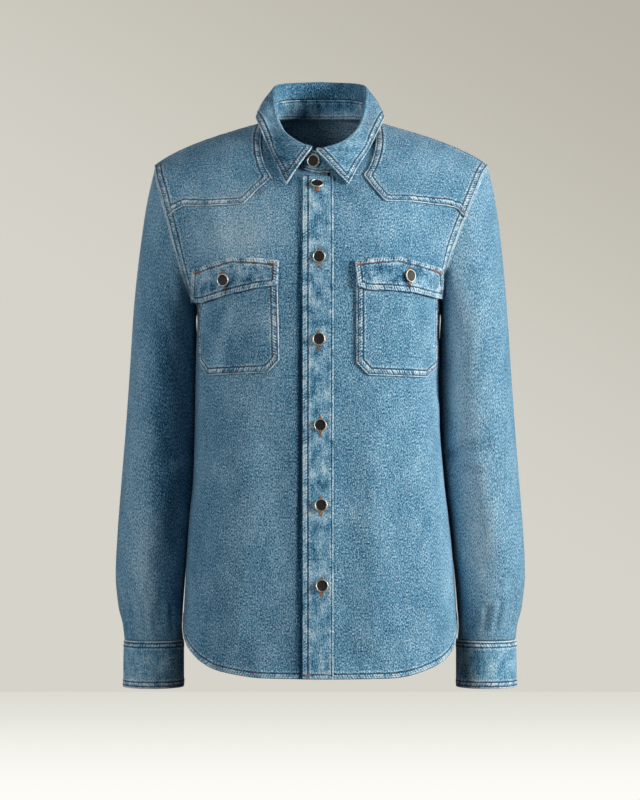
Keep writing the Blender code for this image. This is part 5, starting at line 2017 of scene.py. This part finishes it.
@dataclass
class Arms:
    """The sleeves, with the strip over each slit.

    Attributes:
        forms: the four halves of the body, for the armholes.
        stations: heights of the armhole's points.
        rings: rings down the arm.
    """

    forms: dict[str, PanelForm]
    stations: Array = field(default_factory=lambda: fine_stations(71))
    rings: int = 190

    def form(self, side: Side) -> ArmForm:
        """A sleeve's form on its armhole.

        Args:
            side: the wearer's side.

        Returns:
            The form.
        """
        front = self.forms[f"front_{side.word}"].point(1.0, self.stations)
        back = self.forms[f"back_{side.word}"].point(1.0, self.stations[1:-1])[::-1]
        return ArmForm(side, np.concatenate([front, back]))

    def pieces(self) -> list[Cloth]:
        """Both sleeves and both strips.

        Returns:
            The pieces.
        """
        made = []
        for number, side in enumerate(Side):
            form = self.form(side)
            share = np.concatenate([np.linspace(0, 0.9, self.rings - 40),
                                    np.linspace(0.9, 1.0, 41)[1:]])
            points = form.grid(share)
            middle = np.broadcast_to(points.mean(axis=1, keepdims=True), points.shape)
            grid = Grid(points, middle, closed=True)
            cap = np.concatenate([points[0], points[0][:1]])
            down = np.concatenate([points[1] - points[0], (points[1] - points[0])[:1]])
            seams = [Seam(cap, unit(down), (), BROWN, (0.0, 1.0), 0.5)]
            made.append(Cloth(f"sleeve_{side.word}", grid, CLOTH, ARM_DENIM, (0.42, 0.60), seams,
                              rests=(f"front_{side.word}", "back"), shift=5.1 + 2 * number))
            made.append(self.strip(form, number))
        return made

    def strip(self, form: ArmForm, number: int) -> Cloth:
        """A narrow strip on the sleeve, raised from the same rings.

        Args:
            form: the sleeve's form.
            number: which side in turn, which shifts the pattern.

        Returns:
            The strip.
        """
        swing = np.linspace(-STRIP_HALF_TURN, STRIP_HALF_TURN, 15)
        turn = np.radians(STRIP_TURN + swing)[None]
        share = np.linspace(STRIP_TOP, STRIP_BOTTOM, 60)[:, None]
        points = form.section(share + 0 * turn, turn + 0 * share)
        middle = (form.section(share + 0 * turn, 0 * (turn + share))
                  + form.section(share + 0 * turn, math.pi + 0 * (turn + share))) / 2
        grid = Grid(points + unit(points - middle) * (LIFT + CLOTH), middle)
        seam = grid.seam("-first_column first_row last_column", (1.8,), (0.2, 3.0))
        word = form.side.word
        return Cloth(f"sleeve_strip_{word}", grid, CLOTH, YOKE_DENIM, (0.026, 0.104), [seam],
                     held="laid", rests=(f"sleeve_{word}",), shift=9.1 + number)


@dataclass
class Cuffs:
    """The two cuffs: open bands whose end laps over the start behind the wrist.

    Attributes:
        columns: points round the band.
        rows: points down it.
    """

    columns: int = 200
    rows: int = 40

    def pieces(self) -> list[Cloth]:
        """Each band is an oval at each height, wider where it laps.

        Returns:
            The pieces.
        """
        made = []
        for number, side in enumerate(Side):
            turn = np.linspace(CUFF_START, CUFF_START + 360 + CUFF_LAP, self.columns)
            past = (turn - (CUFF_START + 360 - CUFF_RAMP)) / CUFF_RAMP
            out = (DOUBLE + 2 * GAP) * np.clip(past, 0, 1)
            rings = CUFFS.read("height")
            heights = np.linspace(rings[-1], rings[0], self.rows)
            read = smooth(-rings, CUFFS.read("outer", "inner", "half_depth"), -heights)
            outer, inner, depth = np.split(read, 3, axis=1)
            swing, lean = np.cos(np.radians(turn))[None], np.sin(np.radians(turn))[None]
            x = (outer + inner) / 2 + swing * ((outer - inner) / 2 + out)
            y = CUFF_MIDDLE_Y - lean * (depth + out)
            z = np.broadcast_to(heights[:, None], x.shape)
            points = np.stack([side.value * x, y, z], axis=-1)
            middle = np.stack(
                [side.value * (outer + inner) / 2 + 0 * x, CUFF_MIDDLE_Y + 0 * y, z], axis=-1
            )
            grid = Grid(points, middle)
            seams = [
                grid.seam("last_row", (2.6, 7.4), (0.3, 8.6), 0.24),
                grid.seam("first_row", (2.4, 7.6), (0.3, 8.8), 0.27),
            ]
            made.append(Cloth(f"cuff_{side.word}", grid, DOUBLE, CUFF_DENIM, (0.29, 0.060), seams,
                              rests=(f"sleeve_{side.word}",), shift=11.3 + number))
        return made


@dataclass
class Collar:
    """The stand and the leaf folded over it.

    Attributes:
        forms: the fronts, on which the leaf's points lie.
    """

    forms: dict[str, PanelForm]

    def stand(self) -> Cloth:
        """The band from under the placket round to its lapped end.

        Returns:
            The stand.
        """
        start = -math.degrees(math.asin(-RIGHT_EDGE / NECK_HALF_WIDTH))
        turn = np.linspace(start, STAND_LAP_END, 240)
        climb = np.linspace(0, 1, 20)[:, None]
        points = NECK_FORM.stand(turn[None] + 0 * climb, climb + 0 * turn[None])
        grid = Grid(points, points - NECK_FORM.out(turn)[None])
        seams = [
            grid.seam("first_row", (2.2,), (0.2, 3.0), 0.2),
            grid.seam("last_row", (2.2,), (0.2, 3.0), 0.25),
            grid.seam("last_column", (2.2,), (0.2, 3.0), 0.1),
        ]
        return Cloth("collar_stand", grid, DOUBLE, BAND_DENIM, (0.44, 0.042), seams,
                     rests=("front_right", "front_left", "back"), shift=14.2)

    def leaf_edge(self, side: Side) -> Array:
        """The leaf's outer edge by angle; where it lies on a front it follows that front.

        Args:
            side: the wearer's side.

        Returns:
            The points in the order of the table.
        """
        form = self.forms[f"front_{side.word}"]
        out, y, z, lying = LEAF_EDGE.read(side.word, "y", "z", "lying").T
        share, station = form.locate(side.value * out, z)
        on_front = form.point(share, station, np.full(len(out), LEAF_LIFT))
        return np.stack([side.value * out, np.where(lying > 0, on_front[:, 1], y), z], axis=-1)

    def leaf(self) -> Cloth:
        """Rows up from the stand, over the fold and down to the outer edge, joined by a spline.

        Returns:
            The leaf.
        """
        turn = np.linspace(LEAF_START, LEAF_END, 250)
        lean, under = NECK_FORM.read(turn, "lean"), NECK_FORM.under(turn)
        top, fold = NECK_FORM.read(turn, "stand_top"), NECK_FORM.read(turn, "fold")
        inner = -lean - DOUBLE - under
        rows = [
            NECK_FORM.point(turn, inner, top + LEAF_GAP),
            NECK_FORM.point(turn, inner - 0.2, np.maximum(fold - LEAF_CREST, (top + fold) / 2)),
            NECK_FORM.point(turn, (inner - lean + LEAF_OVER) / 2, fold),
            NECK_FORM.point(turn, -lean + LEAF_OVER, fold - LEAF_CREST),
        ]
        edges = []
        for side, start in ((Side.RIGHT, LEAF_START), (Side.LEFT, 2 * HALF_TURN - LEAF_END)):
            chosen = turn <= HALF_TURN if side is Side.RIGHT else turn > HALF_TURN
            share = (NECK_FORM.angle(turn)[chosen] - start) / (HALF_TURN - start) * HALF_TURN
            edges.append(smooth(LEAF_EDGE.read("angle"), self.leaf_edge(side), share))
        edge = np.concatenate(edges)
        for share in LEAF_FALL:
            belly = LEAF_BULGE * math.sin(math.pi * share) * NECK_FORM.out(turn)
            rows.append(rows[3] * (1 - share) + edge * share + belly)
        points = row_spline(np.stack(rows), 64)
        inside = np.broadcast_to(NECK_FORM.point(turn, -lean, fold - 9.0), points.shape)
        grid = Grid(points, inside)
        seams = [grid.seam("first_column last_row -last_column", (2.0, 7.6), (0.35, 8.8), 0.22,
                           skip=LEAF_BARE_ROWS)]
        return Cloth("collar_leaf", grid, LEAF_THICK, COLLAR_DENIM, (0.47, 0.085), seams,
                     rests=("collar_stand",), shift=16.4)

    def pieces(self) -> list[Cloth]:
        """The stand and the leaf."""
        return [self.stand(), self.leaf()]


@dataclass
class Laid:
    """The pieces laid on the fronts: yokes, pockets, flaps and the button placket.

    Attributes:
        forms: the fronts.
    """

    forms: dict[str, PanelForm]

    def lay(self, side: Side, places: Array, lift: Array) -> Grid:
        """Places seen from the front, dropped on a front and raised.

        Args:
            side: the wearer's side.
            places: outward places and heights.
            lift: how far each is raised.

        Returns:
            The grid.
        """
        form = self.forms[f"front_{side.word}"]
        share, station = form.locate(side.value * places[..., 0], places[..., 1])
        points = form.point(share, station, lift + np.zeros(share.shape))
        return Grid(points, points - form.normal(share, station))

    def yoke(self, side: Side, number: int) -> Cloth:
        """From the cut lower edge up to the shoulder seam, in shares and stations of the front.

        Args:
            side: the wearer's side.
            number: which side in turn, which shifts the pattern.

        Returns:
            The yoke.
        """
        form = self.forms[f"front_{side.word}"]
        end = form.base(np.array([YOKE_ARMHOLE]), np.array([YOKE_ARMHOLE_STATION]))[0]
        corners = YOKE_CORNERS[side] + ((abs(end[0]), end[2]),)
        lower = along(corners, 76)
        share, station = form.locate(side.value * lower[:, 0], lower[:, 1])
        share[-1], station[-1] = YOKE_ARMHOLE, YOKE_ARMHOLE_STATION
        bottom = np.stack([share, station], axis=-1)
        across = np.linspace(YOKE_TOP_OUT[side], YOKE_ARMHOLE, len(lower))
        top = np.stack([across, np.full(len(lower), YOKE_TOP_STATION)], axis=-1)
        places = between(bottom, top, np.linspace(0, 1, 62))
        share, station = places[..., 0], places[..., 1]
        points = form.point(share, station, np.full(share.shape, LIFT + CLOTH))
        grid = Grid(points, points - form.normal(share, station))
        seams = [
            grid.seam("-first_column first_row"),
            grid.seam("last_column", (1.8, 8.2), (0.4, 9.4), 0.2),
            grid.seam("last_row", (2.4,), (0.3, 3.4), 0.15),
        ]
        return Cloth(f"yoke_{side.word}", grid, CLOTH, YOKE_DENIM, (0.17, 0.15), seams,
                     held="laid", rests=(f"front_{side.word}",),
                     shift=18.2 + number)

    def pocket(self, side: Side, number: int) -> Cloth:
        """Rows between the two sides, which draw in at the cut corners, with a slight belly.

        Args:
            side: the wearer's side.
            number: which side in turn, which shifts the pattern.

        Returns:
            The pocket.
        """
        places = np.array(POCKET_CORNERS[side], float)
        rows = np.linspace(0, 1, 76)
        cut = (0, POCKET_CUT, 1)
        inner = np.stack([np.interp(rows, cut, places[:3, k]) for k in range(2)], axis=-1)
        outer = np.stack([np.interp(rows, cut, places[:2:-1, k]) for k in range(2)], axis=-1)
        across = np.linspace(0, 1, 64)
        flat = between(inner, outer, across).swapaxes(0, 1)
        belly = 1.5 * np.sin(math.pi * rows)[:, None] * np.sin(math.pi * across)[None]
        grid = self.lay(side, flat, POCKET_LIFT + CLOTH + belly)
        seam = grid.seam("first_column last_row -last_column", pucker=0.34)
        return Cloth(f"pocket_{side.word}", grid, CLOTH, POCKET_DENIM, (0.097, 0.120), [seam],
                     held="laid", rests=(f"front_{side.word}",), shift=21.2 + number)

    def flap(self, side: Side, number: int) -> Cloth:
        """From the sewn top edge, which lies down, to the loose bottom edge, which stands off.

        Args:
            side: the wearer's side.
            number: which side in turn, which shifts the pattern.

        Returns:
            The flap.
        """
        shares = np.linspace(0, 1, 40)
        flat = between(along(FLAP_TOPS[side], 70), along(FLAP_BOTTOMS[side], 70), shares)
        lift = np.interp(shares, (0, 0.33, 0.66, 1), (0.9, 2.9, 3.4, 3.8))[:, None]
        across = np.linspace(0, 1, 70)[None]
        wave = 0.5 * ripple(across * 105.0, 2.0 + number, 42.0) * shares[:, None] ** 2
        roll = 1.1 * np.exp(-(((shares - 0.11) / 0.07) ** 2))[:, None]
        grid = self.lay(side, flat, lift + wave + roll + FLAP_CLOTH)
        seams = [
            grid.seam("first_column last_row -last_column", (6.6,), (0.5, 7.6)),
            grid.seam("first_row", (6.4,), (0.1, 2.0), thread=ORANGE),
        ]
        return Cloth(f"flap_{side.word}", grid, FLAP_CLOTH, FLAP_DENIM, (0.108, 0.044), seams,
                     rests=(f"front_{side.word}",), shift=24.6 + number)

    def placket(self) -> Cloth:
        """The band over both front edges, on the right front as far as its edge, then on the left.

        Returns:
            The placket.
        """
        heights = np.linspace(PLACKET_TOP, PLACKET_BOTTOM, 380)
        x, z = np.meshgrid(np.linspace(PLACKET_LEFT, PLACKET_RIGHT, 26), heights)
        points, inside = np.zeros(x.shape + (3,)), np.zeros(x.shape + (3,))
        for name, chosen in (("front_right", x <= -RIGHT_EDGE), ("front_left", x > -RIGHT_EDGE)):
            form = self.forms[name]
            share, station = form.locate(x[chosen], z[chosen])
            lift = np.full(share.shape, LIFT + PLACKET_THICK)
            points[chosen] = form.point(share, station, lift)
            inside[chosen] = points[chosen] - form.normal(share, station)
        grid = Grid(points, inside)
        seams = [
            grid.seam("first_column", (6.6,), (0.25, 7.6), 0.34),
            grid.seam("last_column", (1.9,), (0.25, 3.0), 0.28),
            grid.seam("last_row", (5.5,), (0.3, 6.4), 0.1),
        ]
        return Cloth("placket", grid, PLACKET_THICK, BAND_DENIM, (0.037, 0.60), seams,
                     held="laid", rests=("front_right", "front_left"), shift=27.9)

    def pieces(self) -> list[Cloth]:
        """All the laid pieces.

        Returns:
            The pieces.
        """
        made = [self.placket()]
        for number, side in enumerate(Side):
            made += [self.yoke(side, number), self.pocket(side, number), self.flap(side, number)]
        return made


@dataclass
class Buttons:
    """The rimmed buttons, and the buttonholes under them.

    Attributes:
        forms: the fronts.
        sides: points round a button.
    """

    forms: dict[str, PanelForm]
    sides: int = 40

    def turned(self, name: str, profile: Array, place: Array, facing: Array, closed: bool
               ) -> bpy.types.Object:
        """A profile of (radius, rise) turned about the way the button faces.

        Args:
            name: the piece's name.
            profile: radius and rise of each ring, the first or last at nearly no radius.
            place: the middle of the button's back.
            facing: the way it faces.
            closed: whether the last ring joins the first.

        Returns:
            The new object.
        """
        aside = unit(np.cross(facing, (0.3, 0.2, 1.0)))
        other = np.cross(facing, aside)
        swing = np.linspace(0, 2 * math.pi, self.sides, endpoint=False)[None, :, None]
        ring = np.cos(swing) * aside + np.sin(swing) * other
        points = place + ring * profile[:, None, :1] + facing * profile[:, None, 1:]
        count = len(profile)
        faces = grid_faces(count + closed, self.sides, True) % (count * self.sides)
        flat = points.reshape(-1, 3)
        a, b, c = (flat[faces[:, k]] for k in range(3))
        core = points.mean(axis=0) if closed else place + facing * profile[:, 1].mean()
        core = np.broadcast_to(core, points.shape).reshape(-1, 3)[faces[:, 0]]
        if (np.cross(b - a, c - a) * (a - core)).sum() < 0:
            faces = faces[:, ::-1]
        return make_mesh(name, flat, faces)

    def button(self, name: str, place: Array, facing: Array, tilt: tuple[float, float]) -> None:
        """A dark face in a rounded rim, tilted a little, over a short shank.

        Args:
            name: the solid's name.
            place: the middle of the button's back.
            facing: the way out of the cloth there.
            tilt: how far it leans across and up, as parts of its facing.
        """
        facing = unit(np.asarray(facing, float))
        aside = unit(np.cross((0.0, 0.0, 1.0), facing))
        upward = np.cross(facing, aside)
        facing = unit(facing + tilt[0] * aside + tilt[1] * upward)
        swing = np.linspace(0, 2 * math.pi, RIM_POINTS, endpoint=False)
        rim = RIM_MIDDLE + np.stack([np.cos(swing), np.sin(swing)], axis=-1) * RIM_SIZE
        face = np.array(BUTTON_FACE)
        for word, profile, metal in (("rim", rim, Metal.RIM), ("face", face, Metal.FACE)):
            piece = self.turned(f"{name}_{word}", profile, place, facing, metal is Metal.RIM)
            piece.data.materials.append(metal.material())
            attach(piece, "root")
            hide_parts(name)

    def buttonhole(self, thread: Stitches, cloth: Cloth, middle: Array, length: float) -> None:
        """A loop of short stitches across a stadium line, pointing out from the slit.

        Args:
            thread: the mesh that takes the stitches.
            cloth: the piece.
            middle: the slit's middle.
            length: the slit's length.
        """
        turn = np.linspace(0, 2 * math.pi, HOLE_STITCHES, endpoint=False)
        half, none = length / 2 - HOLE_END, 0 * turn
        x = HOLE_HALF_WIDTH * np.cos(turn)
        z = half * np.clip(np.sin(turn) * HOLE_HALF_WIDTH, -1, 1) + HOLE_END * np.sin(turn) * (
            np.abs(np.sin(turn)) > 1 / HOLE_HALF_WIDTH)
        centres, ups = cloth.snap(middle + np.stack([x, none, z], axis=-1), 0.25)
        slit = middle + np.stack([none, none, np.clip(z, -half, half)], axis=-1)
        inwards = centres - slit
        inwards = inwards - (inwards * ups).sum(axis=1, keepdims=True) * ups
        thread.add(centres, unit(inwards), ups, HOLE_STITCH_LENGTH, HOLE_STITCH_RADIUS)

    def build(self, cloths: dict[str, Cloth], groups: Groups) -> None:
        """All the buttons with their holes.

        Args:
            cloths: the built pieces by name.
            groups: the shader groups by name.
        """
        holes = Stitches("buttonholes", ORANGE)
        right = self.forms["front_right"]
        for (name, (x, z)), tilt in zip(FRONT_BUTTONS.items(), FRONT_BUTTON_TILTS):
            place, facing = right.spot(x, z, LIFT + PLACKET_THICK + SHANK)
            self.button(name, place, facing, tilt)
            self.buttonhole(holes, cloths["placket"], place + np.array([0, 0, -1.5]),
                            HOLE_LENGTH)
        for side, (out, z) in FLAP_BUTTONS.items():
            form = self.forms[f"front_{side.word}"]
            place, facing = form.spot(side.value * out, z, FLAP_BUTTON_LIFT + BUTTON_GAP)
            self.button(f"button_flap_{side.word}", place, facing, (0.1, 0.12))
            self.buttonhole(holes, cloths[f"flap_{side.word}"], place, FLAP_HOLE_LENGTH)
        turn = np.array([NECK_BUTTON_TURN])
        facing = NECK_FORM.out(turn)[0]
        place = NECK_FORM.stand(turn, np.array([NECK_BUTTON_RISE]))[0] + facing * SHANK
        self.button("button_neck", place, facing, (0.0, 0.12))
        for side in Side:
            swing = math.radians(CUFF_BUTTON_TURN)
            outer, inner, depth = CUFFS.read("outer", "inner", "half_depth")[1]
            out = DOUBLE + 2 * GAP + BUTTON_GAP
            x = (outer + inner) / 2 + math.cos(swing) * ((outer - inner) / 2 + out)
            y = CUFF_MIDDLE_Y - math.sin(swing) * (depth + out)
            place = np.array([side.value * x, y, CUFF_BUTTON_HEIGHT])
            facing = np.array([side.value * math.cos(swing), -math.sin(swing), 0.0])
            self.button(f"button_cuff_{side.word}", place, facing, (0.0, 0.05))
        holes.build(groups)


@dataclass
class Sewing:
    """All the rows of thread.

    Attributes:
        cloths: the built pieces by the node that each stands for.
    """

    cloths: dict[str, Cloth]

    def rows(self) -> list[Stitches]:
        """One mesh of stitches for each thread of each piece that has rows.

        Returns:
            The stitches.
        """
        made = []
        for node, cloth in self.cloths.items():
            for thread in (BROWN, ORANGE):
                seams = [seam for seam in cloth.seams if seam.thread is thread and seam.rows]
                if not seams:
                    continue
                word = thread.name.removeprefix("thread_")
                gathered = Stitches(f"stitches_{node}_{word}", thread, cloth.finish.slot)
                for seam in seams:
                    for row in seam.rows:
                        gathered.row(cloth, offset_line(seam, row))
                made.append(gathered)
        return made

    def bars(self) -> Stitches:
        """The orange bar tacks at the flaps' corners and the placket's foot.

        Returns:
            The bar tacks.
        """
        tacks = Stitches("bar_tacks", ORANGE)
        for side in Side:
            flap = self.cloths[f"flap_{side.word}"]
            points = flap.relieved
            for column in (3, -4):
                start, end = points[6, column], points[6, column + (5 if column > 0 else -5)]
                tacks.bar(flap, start, end)
        placket = self.cloths["placket"]
        points = placket.relieved
        tacks.bar(placket, points[-4, 2], points[-4, 7])
        return tacks

    def build(self, groups: Groups) -> None:
        """Makes every row and every bar tack."""
        for gathered in self.rows():
            gathered.build(groups)
        self.bars().build(groups)


@dataclass
class Studio:
    """The floor, the backdrop, the lights and the camera.

    Attributes:
        camera_at: the camera's place, in metres.
        lens: its focal length in millimetres.
        floor_z: the floor's height.
        wall_y: how far behind the shirt the backdrop stands.
    """

    camera_at: Triple = (0.0, -3.6, -0.336)
    lens: float = 135.0
    floor_z: float = -0.832
    wall_y: float = 1.5

    def plane(self, name: str, corners: Sequence[Triple], material: Material) -> None:
        """One flat quad of the stage.

        Args:
            name: its name.
            corners: its corners in metres.
            material: its material.
        """
        made = make_mesh(name, np.array(corners, float) / MM, np.array([[0, 1, 2, 3]]))
        made.data.materials.append(material)
        made.visible_diffuse = made.visible_glossy = made.visible_shadow = False
        made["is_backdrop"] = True

    def paper(self, name: str, low: Triple, high: Triple, way: Triple,
              ends: tuple[float, float], one_sided: bool) -> Material:
        """Glowing paper that the lamps don't light, with painted light that runs from one colour to
        another one way.

        Args:
            name: the material's name.
            low: the colour at the first end.
            high: the colour at the other end.
            way: the way of the change.
            ends: how far along that way, in metres, it starts and ends.
            one_sided: whether it is seen only from its front.

        Returns:
            The material.
        """
        made = bpy.data.materials.new(name)
        made.use_nodes = True
        nodes = Nodes(made.node_tree)
        made.node_tree.nodes.remove(made.node_tree.nodes["Principled BSDF"])
        place = nodes.add("ShaderNodeTexCoord").outputs["Object"]
        along_it = nodes.add("ShaderNodeVectorMath", operation="DOT_PRODUCT")
        nodes.put(place, along_it.inputs[0])
        along_it.inputs[1].default_value = way
        along_it = nodes.span(along_it.outputs["Value"], *ends)
        glow = nodes.add("ShaderNodeEmission")
        nodes.put(nodes.ramp(along_it, ((0.0, low), (1.0, high))), glow.inputs["Color"])
        leave = made.node_tree.nodes["Material Output"]
        shown = glow.outputs[0]
        if one_sided:
            clear = nodes.add("ShaderNodeBsdfTransparent")
            mix = nodes.add("ShaderNodeMixShader")
            nodes.put(nodes.add("ShaderNodeNewGeometry").outputs["Backfacing"], mix.inputs[0])
            nodes.put(shown, mix.inputs[1])
            nodes.put(clear.outputs[0], mix.inputs[2])
            shown = mix.outputs[0]
        nodes.put(shown, leave.inputs["Surface"])
        return made

    def light(self, name: str, place: Triple, size: float, power: float, colour: Triple) -> None:
        """A square lamp that points at the shirt's middle.

        Args:
            name: its name.
            place: its place in metres.
            size: its side in metres.
            power: its power in watts.
            colour: its colour.
        """
        data = bpy.data.lights.new(name, "AREA")
        data.size, data.energy, data.color = size, power, colour
        lamp = bpy.data.objects.new(name, data)
        lamp.location = place
        way = Vector((0.0, 0.0, -0.3)) - Vector(place)
        lamp.rotation_euler = way.to_track_quat("-Z", "Y").to_euler()
        bpy.context.scene.collection.objects.link(lamp)

    def build(self) -> None:
        """Sets the stage."""
        scene = bpy.context.scene
        scene.view_settings.view_transform = "Standard"
        data = bpy.data.cameras.new("camera")
        data.lens, data.sensor_width, data.sensor_fit = self.lens, 36.0, "AUTO"
        data.clip_end = 60.0
        camera = bpy.data.objects.new("camera", data)
        camera.location = self.camera_at
        camera.rotation_euler = (math.pi / 2, 0.0, 0.0)
        scene.collection.objects.link(camera)
        scene.camera = camera
        wide, z, y = 6.0, self.floor_z, self.wall_y
        # painted light: the floor glows brighter near the camera, and the backdrop darker higher up
        # and towards +X
        floor = self.paper("stage_floor", (0.982, 0.973, 0.930), (0.715, 0.710, 0.645),
                           (0.0, 1.0, 0.0), (0.1, 1.6), False)
        wall = self.paper("stage_wall", (0.670, 0.650, 0.590), (0.480, 0.455, 0.395),
                          (0.55, 0.0, 1.0), (-0.45, 0.75), True)
        square = ((-wide, -wide, z), (wide, -wide, z), (wide, wide, z), (-wide, wide, z))
        self.plane("floor", square, floor)
        self.plane("backdrop", ((-wide, y, z), (wide, y, z), (wide, y, 5.0), (-wide, y, 5.0)), wall)
        world = bpy.data.worlds.new("studio")
        world.use_nodes = True
        back = world.node_tree.nodes["Background"]
        back.inputs["Color"].default_value = (0.93, 0.95, 1.0, 1.0)
        back.inputs["Strength"].default_value = 0.06
        scene.world = world
        self.light("key", (2.65, -1.28, 0.35), 1.1, 114.0, (1.0, 0.99, 0.97))
        self.light("front", (-1.86, -2.27, 0.40), 1.1, 27.0, (0.97, 0.985, 1.0))
        self.light("side", (-2.97, -0.31, -0.33), 1.1, 12.0, (0.97, 0.985, 1.0))
        self.light("back", (-0.8, 3.4, 1.2), 1.6, 50.0, (1.0, 0.99, 0.98))


def main() -> None:
    """Builds the stage, the cloth, the thread and the buttons."""
    Studio().build()
    groups = {"weave": weave_group(), "wear": wear_group(), "thread": thread_group()}
    forms = panel_forms()
    cloths: dict[str, Cloth] = {}
    for part in (Body(forms), Arms(forms), Cuffs(), Collar(forms), Laid(forms)):
        for piece in part.pieces():
            piece.build(groups)
            cloths[piece.node] = piece
        LOG.info("built %s", type(part).__name__)
    Sewing(cloths).build(groups)
    Buttons(forms).build(cloths, groups)
    box = [list(corner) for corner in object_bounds()]
    ({"cad": [[float(v) for v in corner] for corner in CAD_BOX],
               "visual": [[float(v) for v in corner] for corner in box]})


if __name__ == "__main__":
    main()
